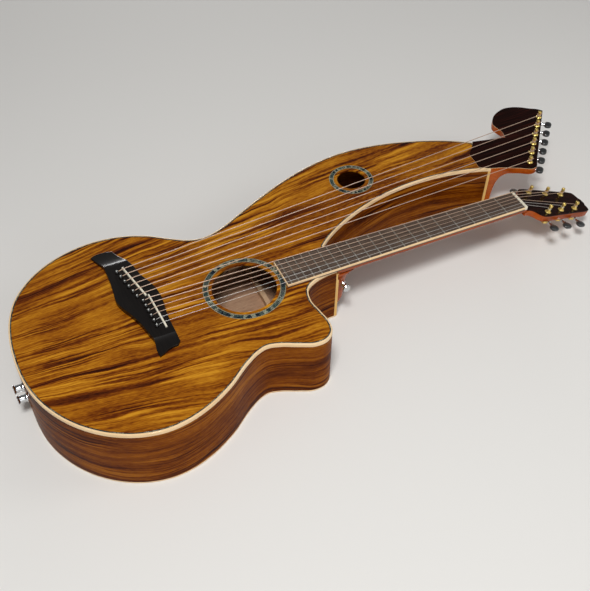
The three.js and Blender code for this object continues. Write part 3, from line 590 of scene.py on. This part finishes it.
def plate_wood(name, tones, values, seam, bold=()):
    """The striped wood of a plate, bookmatched about its seam, with grain that fans out to the heads."""
    finish = Finish(name, values)
    x, y, _ = finish.along(body)
    side = y - seam
    beyond = (x - tail_x) / fan_length + 1
    across = abs(side) / beyond
    half = finish.rise(side, -seam_half, seam_half)
    wood, pores = striped(finish, across, x - tail_x, half, tones, bold=bold)
    finish.set({"Base Color": wood, "Normal": finish.bump(1 - pores, pore_depth)})
    return finish


back_finish = plate_wood("back_wood", [
    (0.12, (48, 16, 2)), (0.32, (92, 42, 6)), (0.5, (124, 66, 12)), (0.66, (148, 86, 20)),
    (0.9, (176, 110, 30))], lacquer, 0)
bare_finish = plate_wood("bare_back_wood", [
    (0.1, (136, 92, 70)), (0.5, (180, 140, 110)), (0.9, (202, 164, 132))], {"Roughness": 0.75}, 0)
binding_width = 2.3
back_thickness = 2.8
back_mesh = plate([drawn_in(outline, binding_width)], above_back(0), above_back(back_thickness), 0.1)
for face in back_mesh.faces:
    if face.normal.z > 0.5:
        face.material_index = 1
put("back_plate", back_mesh, body, back_finish, ["back"], inside=bare_finish)

cream_finish = grained("cream_binding", lacquer, (60, 60, 9), [
    (0.3, (232, 196, 148)), (0.7, (242, 212, 168))])
back_edge_height = 3.3
back_ring = [(0.9, 0), (0.25, 0.25), (0, 0.9), (0, back_edge_height), (binding_width, back_edge_height),
             (binding_width, 0)]
back_edge = band([(distance, above_back(height)) for distance, height in back_ring])
put("back_edge_binding", back_edge, body, cream_finish, ["back_binding"])


# Soundboard: two bookmatched halves of strongly striped golden wood under clear lacquer, with the main
# soundhole and a small one in the arm. It is edged with a shell line and a rounded cream binding.
soundboard_thickness = 2.9
seam_y = 12.5
bold_streaks = [(0, 66, 4, -60, 430, 0.3), (0, 104, 8, -60, 210, 0.34), (0, 80, 2.5, 250, 430, 0.3),
                (0, 90, 3, 60, 260, 0.2), (1, 73, 2.5, -60, 210, 0.3), (1, 99, 9, -20, 190, 0.24),
                (1, 84, 3, 190, 430, 0.26), (1, 47, 3, 120, 430, 0.22)]
top_finish = plate_wood("top_wood", [
    (0.0, (46, 11, 1)), (0.3, (100, 43, 3)), (0.5, (146, 83, 9)), (0.66, (170, 106, 17)),
    (0.95, (202, 138, 32))], lacquer, seam_y, bold_streaks)

purfling_width = 1.9
shell_end = binding_width + purfling_width
hole_spacing = 2.5
holes = [faired(loop, hole_spacing) for loop in rims("soundboard", body, 0)[1:]]
top_mesh = plate([drawn_in(outline, shell_end), *holes], -soundboard_thickness, 0, 0.4)
put("top_plate", top_mesh, body, top_finish, ["soundboard"])

line_finish = Finish("dark_line", {"Base Color": colour(34, 24, 18), "Roughness": 0.4})
shell_length = 7
shells_a_radian = 9.3


def shell(name, place, round_ring):
    """Pieces of shell, each of its own colour, laid end to end along an edge or round a ring."""
    finish = Finish(name, lacquer)
    x, y, _ = finish.along(place)
    run = (x + y) / shell_length
    if round_ring:
        run = y.sum("ARCTAN2", y, x) * shells_a_radian
    run = run + finish.noise(x / 4, y / 4, 0, 1.0) * 1.2
    piece = run.sum("FLOOR", run)
    own = finish.add("ShaderNodeTexWhiteNoise", {"noise_dimensions": "1D"}, {"W": piece})
    joint_gap = finish.rise(abs(run - piece - 0.5), 0.4, 0.46)
    swirl = finish.noise(x / 1.8, y / 1.8, own * 9)
    tones = finish.ramp(own * 0.6 + swirl * 0.9 - 0.2, [
        (0.1, (12, 11, 24)), (0.3, (24, 38, 52)), (0.46, (80, 100, 86)), (0.58, (46, 32, 52)),
        (0.74, (166, 170, 144)), (0.88, (44, 58, 66))])
    finish.set({"Base Color": finish.mix(tones, colour(20, 16, 16), joint_gap * 0.8)})
    return finish


binding_depth = 6.8
binding_ring = [(0, -binding_depth), (0, -1.5), (0.2, -0.65), (0.65, -0.2), (1.5, 0), (binding_width, 0),
                (binding_width, -binding_depth)]
put("top_edge_binding", band(binding_ring), body, cream_finish, ["top_binding"])
line_width = 0.4
purfling_depth = 2
for name, start, end, finish in [
        ("outer_purfling_line", binding_width, binding_width + line_width, line_finish),
        ("shell_purfling", binding_width + line_width, shell_end - line_width,
         shell("edge_shell", body, False)),
        ("inner_purfling_line", shell_end - line_width, shell_end, line_finish)]:
    ring = [(start, -purfling_depth), (start, 0), (end, 0), (end, -purfling_depth)]
    put(name, band(ring), body, finish, [])


# Rosettes: a mosaic ring of shell between pale and dark lines, let into the top round each soundhole and
# lacquered over.
def turned(profile, steps=24):
    """A piece turned on the z axis, from radius and height pairs."""
    mesh = bmesh.new()
    verts = [mesh.verts.new((radius, 0, height)) for radius, height in profile]
    edges = [mesh.edges.new(pair) for pair in zip(verts, verts[1:])]
    bmesh.ops.spin(mesh, geom=verts + edges, cent=(0, 0, 0), axis=(0, 0, 1), angle=math.tau, steps=steps,
                   use_merge=True)
    bmesh.ops.remove_doubles(mesh, verts=mesh.verts, dist=0.001)
    bmesh.ops.recalc_face_normals(mesh, faces=mesh.faces)
    return mesh


pale_line_finish = Finish("pale_line", {"Base Color": colour(176, 166, 128), "Roughness": 0.4})
ring_proud = 0.05
ring_depth = 1
ring_steps = 96
for name, hole, start, shell_width in [("main", holes[0], 5.1, 7), ("arm", holes[1], 6.1, 6)]:
    middle = sum(hole, Vector((0, 0))) / len(hole)
    centre = body @ Matrix.Translation((*middle, 0))
    inner = (hole[0] - middle).length + start
    for part, width, finish in [
            ("inner_line", 0.6, line_finish), ("inner_pale_line", 0.7, pale_line_finish),
            ("shell", shell_width, shell(f"{name}_rosette_shell", centre, True)),
            ("outer_pale_line", 0.6, pale_line_finish), ("outer_line", 0.4, line_finish)]:
        outer = inner + width
        ring = turned([(inner, -ring_depth), (inner, ring_proud), (outer, ring_proud), (outer, -ring_depth),
                       (inner, -ring_depth)], ring_steps)
        put(f"{name}_rosette_{part}", ring, centre, finish, [])
        inner = outer


# Bridge: one ebony base for both sets of strings. Its wings are scooped down from two ridges; two bone
# saddles stand in slots, and each string is held by a dark pin whose pale dot is a painted glint.
ebony_finish = grained("ebony", {"Roughness": 0.25}, (0.7, 25, 6), [
    (0.35, (6, 4, 3)), (0.7, (20, 14, 11))], detail=3.0, relief=0.00004)
bridge_height = 9.0
wing_height = 3.6
bridge_foot = 0.3
scoop_run = 13
treble_wing = 32
bass_wing = 38
bridge_edge = faired(rims("bridge", body, bridge_foot)[0], spacing=2, sharpest=32)
wing_lines = (min(point.y for point in bridge_edge) + treble_wing,
              max(point.y for point in bridge_edge) - bass_wing)


def bridge_top(y):
    """Full height between the ridges, then a quick scoop and a thin wing."""
    beyond = max(wing_lines[0] - y, y - wing_lines[1], 0)
    scoop = 1 - math.exp(-beyond / scoop_run)
    return bridge_height - (bridge_height - wing_height) * min(scoop * 1.06, 1)


def sliced(mesh, spot, way):
    """Cuts new edges into a mesh where a plane crosses it."""
    geometry = mesh.verts[:] + mesh.edges[:] + mesh.faces[:]
    bmesh.ops.bisect_plane(mesh, geom=geometry, plane_co=spot, plane_no=way)


bridge_mesh = plate([bridge_edge], 0, bridge_height, 0.8)
slice_steps = (0.01, 1, 2, 3.5, 5, 7, 9, 12, 15, 19, 24, 30)
for y in [wing_lines[0] - step for step in slice_steps] + [wing_lines[1] + step for step in slice_steps]:
    sliced(bridge_mesh, (0, y, 0), (0, 1, 0))
lowest_top = 1
for vert in bridge_mesh.verts:
    if vert.co.z > lowest_top:
        vert.co.z = bridge_top(vert.co.y) - (bridge_height - vert.co.z)
put("bridge_base", bridge_mesh, body, ebony_finish, ["bridge"], sharp=30)

bone_finish = grained("bone", {"Roughness": 0.35, "Coat Weight": 0.3, "Coat Roughness": 0.1}, (3, 14, 3), [
    (0.3, (224, 214, 188)), (0.7, (242, 236, 218))])


def crowned(node, rounding):
    """A straight bar set over a node, with a rounded top."""
    heights = [point.z for point in points_in(node, body)]
    bottom, top = min(heights), max(heights)
    loop = rims(node, body, top)[0]
    return skin([level(loop, *at) for at in [
        (0, bottom), (0, top - rounding), (rounding * 0.3, top - rounding * 0.3), (rounding, top)]])


for node in ("guitar_saddle", "harp_saddle"):
    put(f"bone_{node}", crowned(node, 1.1), body, bone_finish, [node], sharp=60)


section_gap = 1.6


def string_stations(node):
    """The middles of a string node's sections, from the bridge to its post."""
    points = sorted(points_in(node, body), key=lambda point: point.x)
    groups = [[points[0]]]
    for before, point in zip(points, points[1:]):
        if point.x - before.x > section_gap:
            groups.append([])
        groups[-1].append(point)
    return [sum(group, Vector()) / len(group) for group in groups]


strings = [f"{row}_string_{number}" for row in ("guitar", "harp") for number in range(1, 7)]
stations = {name: string_stations(name) for name in strings}
pin_offset = 0.4
pin_finish = Finish("pin_ebony", {"Base Color": colour(16, 13, 12), "Roughness": 0.22})
# The pale dot on each pin head is a painted glint: it stands in for the small light glints on the dark pins.
pin_glint_finish = grained("pearl", {"Roughness": 0.25}, (1, 1, 1), [
    (0.3, (186, 190, 186)), (0.7, (226, 226, 216))])
pin_profile = [(0, 6), (2.5, 6), (2.5, 9), (3.2, 9.3), (3.5, 10.3), (3, 11.4), (2, 12.2), (1.2, 12.5),
               (0, 12.5)]
glint_dot_profile = [(0, 11), (1.2, 11), (1.2, 12.5), (0.8, 12.65), (0, 12.75)]
for name in strings:
    foot = stations[name][0]
    spot = body @ Matrix.Translation((foot.x + pin_offset, foot.y, 0))
    put(f"{name}_pin", turned(pin_profile), spot, pin_finish, [])
    put(f"{name}_pin_dot", turned(glint_dot_profile), spot, pin_glint_finish, [])


# Neck: one piece of mahogany with a rounded shaft, a heel that runs down the end of the body and a tilted
# headstock under a dark veneer.
nut_edge = brow.z - nut_spot.z
neck_lean = lean_of("fingerboard")
neck = body @ Matrix.Translation((0, 0, nut_edge)) @ Matrix.Rotation(neck_lean - taper, 4, "Y")
head_lean = lean_of("headplate")
head_start = Vector((5, 0, -7.5))
headstock = neck @ Matrix.Translation(head_start) @ Matrix.Rotation(head_lean - neck_lean, 4, "Y")
headplate_thickness = 2.0
headstock_thickness = 12.5
board_thickness = 6.0


def mahogany(name, place, dark, light):
    """Fine-grained reddish wood under lacquer, with its grain along the x axis of a frame."""
    finish = Finish(name, lacquer)
    x, y, z = finish.along(place)
    broad = finish.noise(x / 160, y / 14, z / 14) - 0.5
    fine = finish.noise(x / 26, y / 1.1, z / 1.1) - 0.5
    pore = finish.rise(finish.noise(x / 6, y / 0.4, z / 0.4, 1.0), 0.64, 0.74)
    tone = 0.5 + broad * 1.1 + fine * 0.8
    wood = finish.ramp(tone, [(0.2, dark), (0.8, light)])
    finish.set({"Base Color": finish.mix(wood, colour(60, 22, 8), pore * 0.5),
                "Normal": finish.bump(1 - pore, 0.00004)})
    return finish


neck_finish = mahogany("neck_mahogany", neck, (128, 50, 12), (170, 80, 26))


def head_loops(node, place, height):
    """The outline of a head and its post holes, drawn smoothly."""
    outer, *post_holes = rims(node, place, height)
    return [faired(outer, spacing=2, sharpest=50), *(faired(loop, spacing=0.8) for loop in post_holes)]


headstock_loops = head_loops("headplate", headstock, 0)
neck_points = points_in("neck", body)
joint_x = min(point.x for point in neck_points)
heel_drop = -min(point.z for point in neck_points)
nut_width = 44.5
wide_x = -451.4
wide_width = 57.6


def half_width(x):
    """Half the width of the neck, which widens evenly from the nut."""
    return (nut_width + (wide_width - nut_width) * x / wide_x) / 2


shaft_start = joint_x - 4
shaft_end = 5.3
shaft_steps = 24
shaft_depth = 15
shaft_swell = 2.5
arc_steps = 32
shaft_rings = []
for step in range(shaft_steps + 1):
    x = shaft_start + (shaft_end - shaft_start) * step / shaft_steps
    deep = shaft_depth + shaft_swell * x / joint_x
    ring = []
    for turn in range(arc_steps + 1):
        angle = math.pi * turn / arc_steps
        ring.append((x, -half_width(x) * math.cos(angle),
                     -board_thickness - deep * math.sin(angle) ** 0.8))
    shaft_rings.append(ring)
shaft = skin(shaft_rings)
shaft.transform(body.inverted() @ neck)

heel_reach = 21.5
heel_half_width = 22
heel_tongue = 2
heel_steps = 4
heel_shares = [
    (1, 0.4, 0.62), (0.94, 0.66, 0.74), (0.84, 0.84, 0.83), (0.63, 0.95, 0.92), (0.42, 1, 1),
    (0.31, 1.07, 1.07), (0.23, 1.26, 1.14), (0.16, 1.75, 1.2), (0.12, 2.4, 1.2)]
heel_rings = []
for (down, reach, width), (down2, reach2, width2) in zip(heel_shares, heel_shares[1:]):
    for step in range(heel_steps):
        share = step / heel_steps
        height = -heel_drop * (down + (down2 - down) * share)
        out = heel_reach * (reach + (reach2 - reach) * share)
        half = heel_half_width * (width + (width2 - width) * share)
        ring = []
        for turn in range(arc_steps + 1):
            angle = math.pi * turn / arc_steps - math.pi / 2
            ring.append((joint_x + out * max(math.cos(angle), 0) ** 0.7, half * math.sin(angle), height))
        heel_rings.append(ring + [(joint_x - heel_tongue, side * half, height) for side in (1, -1)])
heel = skin(heel_rings)
head = plate(headstock_loops, -headstock_thickness, -headplate_thickness, 0.1)
head.transform(body.inverted() @ headstock)


def joined(*meshes):
    """Several shells of one piece in one mesh."""
    whole = bmesh.new()
    for mesh in meshes:
        data = bpy.data.meshes.new("part")
        mesh.to_mesh(data)
        mesh.free()
        whole.from_mesh(data)
        bpy.data.meshes.remove(data)
    return whole


put("mahogany_neck", joined(shaft, heel, head), body, neck_finish, ["neck"], sharp=35)

veneer_finish = grained("head_veneer", lacquer | {"Coat Weight": 0.4}, (60, 2.4, 9), [
    (0.3, (10, 2, 1)), (0.55, (30, 8, 4)), (0.75, (56, 17, 9))], detail=4.0)
put("headstock_veneer", plate(headstock_loops, -headplate_thickness, 0, 0.4), headstock, veneer_finish,
    ["headplate"])


# Braces and blocks: pale braces glued under the soundboard and across the back, and mahogany blocks that
# fill the body at the neck joint and at the tail. They keep the shapes of the CAD model.
def dress(node, finish):
    data = frame["nodes"][node].data
    data.materials.clear()
    data.materials.append(finish.material)


for node in ("top_bracing", "back_bracing"):
    dress(node, lining_finish)
for node in ("neck_block", "tail_block"):
    dress(node, neck_finish)


# Fingerboard: dark fine-grained wood with cream binding along both sides and across its end, twenty
# frets pressed in, and a bone nut at the head.
board_finish = Finish("fingerboard_wood", {"Roughness": 0.5})
board_x, board_y, board_z = board_finish.along(neck)
board_broad = board_finish.noise(board_x / 90, board_y / 3.5, board_z, 3.0) - 0.5
board_fine = board_finish.noise(board_x / 14, board_y / 0.5, board_z) - 0.5
board_finish.set({
    "Base Color": board_finish.ramp(0.5 + board_broad + board_fine * 0.9, [
        (0.2, (50, 38, 31)), (0.5, (82, 66, 55)), (0.8, (112, 94, 79))]),
    "Normal": board_finish.bump(board_fine, 0.00006)})
edge_width = 1.4
edge_depth = 3.9
end_edge_width = 1.5
board_end = min(point.x for point in points_in("fingerboard", neck))


def strip(corners, bottom, top, rounding):
    """A flat piece of the fingerboard between its corners."""
    return plate([[Vector(corner) for corner in corners]], bottom, top, rounding)


end_half, nut_half = half_width(board_end), half_width(0)
inner_x = board_end + end_edge_width
inner_half = half_width(inner_x)
board = strip([(inner_x, -inner_half + edge_width), (0, -nut_half + edge_width),
               (0, nut_half - edge_width), (inner_x, inner_half - edge_width)], -edge_depth, 0, 0.05)
base = strip([(board_end, -end_half), (0, -nut_half), (0, nut_half), (board_end, end_half)],
             -board_thickness, -edge_depth, 0.05)
put("fingerboard_wood", joined(board, base), neck, board_finish, ["fingerboard"])
board_edges = [strip(corners, -edge_depth, 0, 0.5) for corners in [
    [(board_end, -end_half), (0, -nut_half), (0, -nut_half + edge_width),
     (inner_x, -end_half + edge_width + 0.05)],
    [(0, nut_half), (board_end, end_half), (inner_x, end_half - edge_width - 0.05),
     (0, nut_half - edge_width)],
    [(board_end, -end_half), (inner_x, -end_half + edge_width), (inner_x, end_half - edge_width),
     (board_end, end_half)]]]
put("fingerboard_binding", joined(*board_edges), neck, cream_finish, [])


def crowned_bar(middle, size, rounding):
    """A bar across the neck whose upper edges are rounded."""
    bar = bmesh.new()
    bmesh.ops.create_cube(bar, size=1, matrix=Matrix.Translation(middle) @ Matrix.Diagonal((*size, 1)))
    crown = [edge for edge in bar.edges if all(vert.co.z > 0 for vert in edge.verts)]
    bmesh.ops.bevel(bar, geom=crown, offset=rounding, segments=3, profile=0.5, affect="EDGES", material=-1)
    return bar


scale_length = 648
fret_count = 20
fret_width = 2.2
fret_height = 2
fret_middle = 0.1
fret_inset = 1.2
fret_finish = Finish("fret_wire", {"Base Color": colour(158, 152, 142), "Metallic": 0.7, "Roughness": 0.35})
frets = []
for fret in range(1, fret_count + 1):
    x = -scale_length * (1 - 2 ** (-fret / 12))
    fret_length = 2 * (half_width(x) - fret_inset)
    frets.append(crowned_bar((x, 0, fret_middle), (fret_width, fret_length, fret_height), 0.95))
put("frets", joined(*frets), neck, fret_finish, [])
nut_middle = (2.6, 0, -2.2)
nut_size = (4.8, nut_width, 7.2)
put("bone_nut", crowned_bar(nut_middle, nut_size, 0.9), neck, bone_finish, ["nut"])


# Harp head: a mahogany plate with a hook, swept down into a heel that closes the end of the arm, under
# the same dark veneer as the headstock.
harp_finish = mahogany("harp_mahogany", body, (146, 62, 12), (188, 92, 26))
harp_face = max(point.z for point in points_in("harp_headplate", body))
harp_thickness = 11.5
harp_loops = head_loops("harp_head", body, 0)
harp_veneer_loops = [head_loops("harp_headplate", body, harp_face)[0], *harp_loops[1:]]
arm_near = Vector((5, 90))
arm_far = Vector((16, 169))
end_way = (arm_far - arm_near).normalized()
end_out = Vector((end_way.y, -end_way.x))
harp_foot = above_back(3.3)
flare_start = 9
flare_length = 37
flare_depth = 62
flare_shares = [(0, 1), (0.04, 0.7), (0.1, 0.48), (0.16, 0.35), (0.25, 0.21), (0.36, 0.12), (0.48, 0.06),
                (0.62, 0.02), (1, 0)]


def harp_under(point):
    """The underside of the harp head, by the distance from the end of the arm."""
    out = (Vector(point[:2]) - arm_near).dot(end_out)
    if out < flare_start:
        return harp_foot(point)
    share = (out - flare_start) / flare_length
    for (start, drop), (end, next_drop) in zip(flare_shares, flare_shares[1:]):
        if share <= end:
            drop += (next_drop - drop) * (share - start) / (end - start)
            return -harp_thickness - drop * (flare_depth - harp_thickness)
    return -harp_thickness


harp_mesh = plate(harp_loops, -harp_thickness, 0, 0.1)
for out in [flare_start - 0.01, flare_start + 0.01] + [
        flare_start + share * flare_length for share, _ in flare_shares[1:]]:
    sliced(harp_mesh, (*(arm_near + end_out * out), 0), (*end_out, 0))
for vert in harp_mesh.verts:
    if vert.co.z < -harp_thickness + 0.01:
        vert.co.z = harp_under(vert.co)
put("harp_head_wood", harp_mesh, body, harp_finish, ["harp_head"], sharp=35)
# The veneer stands on a thin cream line all round the harp head: a painted highlight, standing in for the
# light that the rounded edge of the hook catches.
highlight_line_top = 0.7
put("harp_head_veneer", plate(harp_veneer_loops, highlight_line_top, harp_face, 0.4), body, veneer_finish,
    ["harp_headplate"])
harp_painted_highlight_line = plate(harp_veneer_loops, 0.05, highlight_line_top, 0.05)
put("harp_head_line", harp_painted_highlight_line, body, cream_finish, [])


# Tuners: gold-plated posts that stand through the heads in bushings, each turned by a worm on the steel
# stem of a dark button. The end of the string is wound round the post.
gold_finish = grained("gold_plate", {"Metallic": 0.85, "Roughness": 0.28}, (3, 3, 3), [
    (0.3, (232, 196, 98)), (0.7, (250, 224, 140))])
button_gloss = {"Roughness": 0.3, "Coat Weight": 0.6, "Coat Roughness": 0.08}
button_finish = grained("button_grey", button_gloss, (5, 5, 5), [(0.3, (30, 31, 32)), (0.7, (50, 52, 53))])
steel_finish = Finish("polished_steel", {
    "Base Color": colour(206, 208, 210), "Metallic": 1.0, "Roughness": 0.15})
string_finish = Finish("wound_bronze", {"Metallic": 0.45, "Roughness": 0.4})
string_x = string_finish.along(body)[0]
string_wave = string_finish.noise(string_x / 0.35, 0, 0, 0)
string_finish.set({"Base Color": string_finish.ramp(string_wave, [
    (0.35, (172, 138, 112)), (0.65, (232, 206, 184))])})
plain_finish = Finish("plain_steel", {
    "Base Color": colour(216, 212, 206), "Metallic": 0.45, "Roughness": 0.35})

for node in ("bass_tuner_plate", "treble_tuner_plate", "harp_tuner_plate"):
    dress(node, gold_finish)

knob_length = 12.95
knob_half_width = 8.5
knob_half_thickness = 3.5
knob_steps = 28
knob_squareness = 0.65
knob_shares = [(0, 0.55, 0.5), (0.04, 0.72, 0.8), (0.16, 0.84, 0.95), (0.36, 1, 1), (0.62, 0.98, 0.98),
               (0.82, 0.86, 0.9), (0.94, 0.66, 0.7), (1, 0.4, 0.35)]


def knob(start):
    """A rounded flat button on the y axis."""
    rings = []
    for along, width, thick in knob_shares:
        ring = []
        for step in range(knob_steps):
            angle = math.tau * step / knob_steps
            across, up = [math.copysign(abs(part) ** knob_squareness, part)
                          for part in (math.cos(angle), math.sin(angle))]
            ring.append((knob_half_width * width * across, start + knob_length * along,
                         knob_half_thickness * thick * up))
        rings.append(ring)
    return skin(rings)


def tube(path, radius, sides=8):
    """A round wire along a path."""
    rings = []
    for i, point in enumerate(path):
        way = (path[min(i + 1, len(path) - 1)] - path[max(i - 1, 0)]).normalized()
        side = way.cross(Vector((0, 0, 1))).normalized()
        up = side.cross(way)
        rings.append([point + (side * math.cos(turn) + up * math.sin(turn)) * radius
                      for turn in (math.tau * step / sides for step in range(sides))])
    return skin(rings)


diameters = dict(zip(strings, (0.5, 0.56, 0.7, 0.86, 1.07, 1.3, 1.29, 1.29, 1.26, 1.23, 1.2, 1.15)))
plain_strings = ("guitar_string_1", "guitar_string_2")
winding_radius = 2.55
winding_height = 7.5
winding_pitch = 2.1
coil_turns = 2
coil_steps = 20
post_heights = {"guitar": 14.9, "harp": 13}
knob_starts = {"guitar": 19, "harp": 14.5}
gear_drop = 3.8
gear_half = 1.6
bushing_profile = [(3.4, -1), (5.6, -1), (5.6, 0.7), (5.0, 1.4), (4.2, 2.3), (3.4, 2.5), (3.4, -1)]
upright = Matrix.Rotation(math.radians(-90), 4, "X")
for joint in frame["joints"]:
    row, kind, number = joint["name"].split("_")[:3]
    place = headstock if row == "guitar" else body @ Matrix.Translation((0, 0, harp_face))
    spot = place.inverted() @ Vector(joint["pos_m"])
    if kind == "post":
        thickness = headstock_thickness if row == "guitar" else harp_thickness + harp_face
        height = post_heights[row]
        stand = place @ Matrix.Translation((spot.x, spot.y, 0))
        gear = -thickness - gear_drop
        post = turned([(0, gear - gear_half), (3.6, gear - gear_half), (3.6, gear + gear_half),
                       (3, gear + gear_half), (3, 4.6), (2.7, 5.4), (2.5, 6.4), (2.5, 9.0), (2.8, 10),
                       (3.2, 10.6), (3.3, height - 1.6), (3.1, height - 0.7), (2.5, height), (0, height)])
        put(f"{row}_post_{number}_gold", post, stand, gold_finish, [f"{row}_tuner_{number}_post"],
            joint["child"])
        put(f"{row}_bushing_{number}", turned(bushing_profile), stand, gold_finish, [])

        # Strings 1 to 3 of the neck wind the other way, on the posts of the treble side.
        name = f"{row}_string_{number}"
        radius = diameters[name] / 2
        side = -1 if row == "guitar" and int(number) < 4 else 1
        wound = winding_radius + radius
        coil = []
        for step in range(coil_turns * coil_steps + 1):
            angle = side * (math.tau * step / coil_steps - math.pi / 2)
            drop = winding_pitch * radius * step / coil_steps
            coil.append(Vector((wound * math.cos(angle), wound * math.sin(angle), winding_height - drop)))
        finish = plain_finish if name in plain_strings else string_finish
        put(f"{name}_turns", tube(coil, radius), stand, finish, [], joint["child"])
        stub = [Vector((0, 0, 9.6)), Vector((2.4 * side, -3.2, 9.7)), Vector((3.2 * side, -4.4, 9.3))]
        put(f"{name}_end", tube(stub, radius), stand, finish, [], joint["child"])
        stations[name][-1] = body.inverted() @ stand @ coil[0]
    else:
        way = place.inverted().to_3x3() @ Vector(joint["axis"])
        turn = Matrix.Rotation(math.atan2(-way.x, way.y), 4, "Z")
        stand = place @ Matrix.Translation(spot) @ turn
        start = knob_starts[row]
        put(f"{row}_button_{number}_knob", knob(start), stand, button_finish,
            [f"{row}_tuner_{number}_button"], joint["child"], sharp=50)
        stem = turned([(0, -4), (1.5, -4), (1.5, 7.5), (3.2, 7.6), (3.2, 10.4), (2.1, 10.6),
                       (2.1, start - 2.4), (3.4, start - 2), (3.4, start + 0.5), (0, start + 0.5)])
        put(f"{row}_button_{number}_stem", stem, stand @ upright, steel_finish, [], joint["child"])


# Strings: two of plain steel and ten wound with bronze. Each is held by its pin and runs over the saddle
# and, on the neck, over the nut, to the turns on its post.
def bent(path, reach):
    """A path whose inner corners are rounded within a reach."""
    made = path[:1]
    for before, corner, after in zip(path, path[1:], path[2:]):
        start = corner + (before - corner).normalized() * reach
        end = corner + (after - corner).normalized() * reach
        made += [start, (start + end) / 4 + corner / 2, end]
    return made + [path[-1]]


string_foot = Vector((-0.6, 0, -1.6))
bend_reach = 1.2
for name in strings:
    radius = diameters[name] / 2
    plain = name in plain_strings
    finish, slot = (plain_finish, "plain_string") if plain else (string_finish, "wound_string")
    path = [stations[name][0] + string_foot, *stations[name]]
    put(f"{name}_wire", tube(bent(path, bend_reach), radius), body, finish, [name])


# Jacks and strap button: turned metal, chromed. The jacks are screwed into the tail block and hold a strap
# as well; the strap button is screwed to the heel.
jack_profile = [(0, -40), (4.6, -40), (4.6, 0.2), (7.2, 0.2), (7.2, 1.2), (6.2, 2), (5.8, 4), (5.8, 11),
                (6.2, 12.6), (7.1, 13.6), (7.2, 14.6), (6.8, 15), (3.8, 15), (3.2, 14.4), (3.2, 3), (0, 3)]
turning_steps = 32
for name in ("upper_jack", "lower_jack"):
    low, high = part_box(name)
    middle = body.inverted() @ ((low + high) / 2)
    spot = body @ Matrix.Translation((tail_x, 0, middle.z)) @ Matrix.Rotation(math.radians(-90), 4, "Y")
    put(f"chrome_{name}", turned(jack_profile, turning_steps), spot, steel_finish, [name])
low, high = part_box("strap_button")
middle = body.inverted() @ ((low + high) / 2)
strap_button_length = 12
button_profile = [(0, 0), (5.4, 0), (4.6, 1.4), (3.5, 3.6), (3.5, 7), (4.6, 8.8), (6.8, 9.6), (7, 10.6),
                  (6.2, strap_button_length), (0, strap_button_length)]
spot = body @ Matrix.Translation(middle + Vector((0, strap_button_length / 2, 0))) @ upright.inverted()
put("chrome_strap_button", turned(button_profile, turning_steps), spot, steel_finish, ["strap_button"])
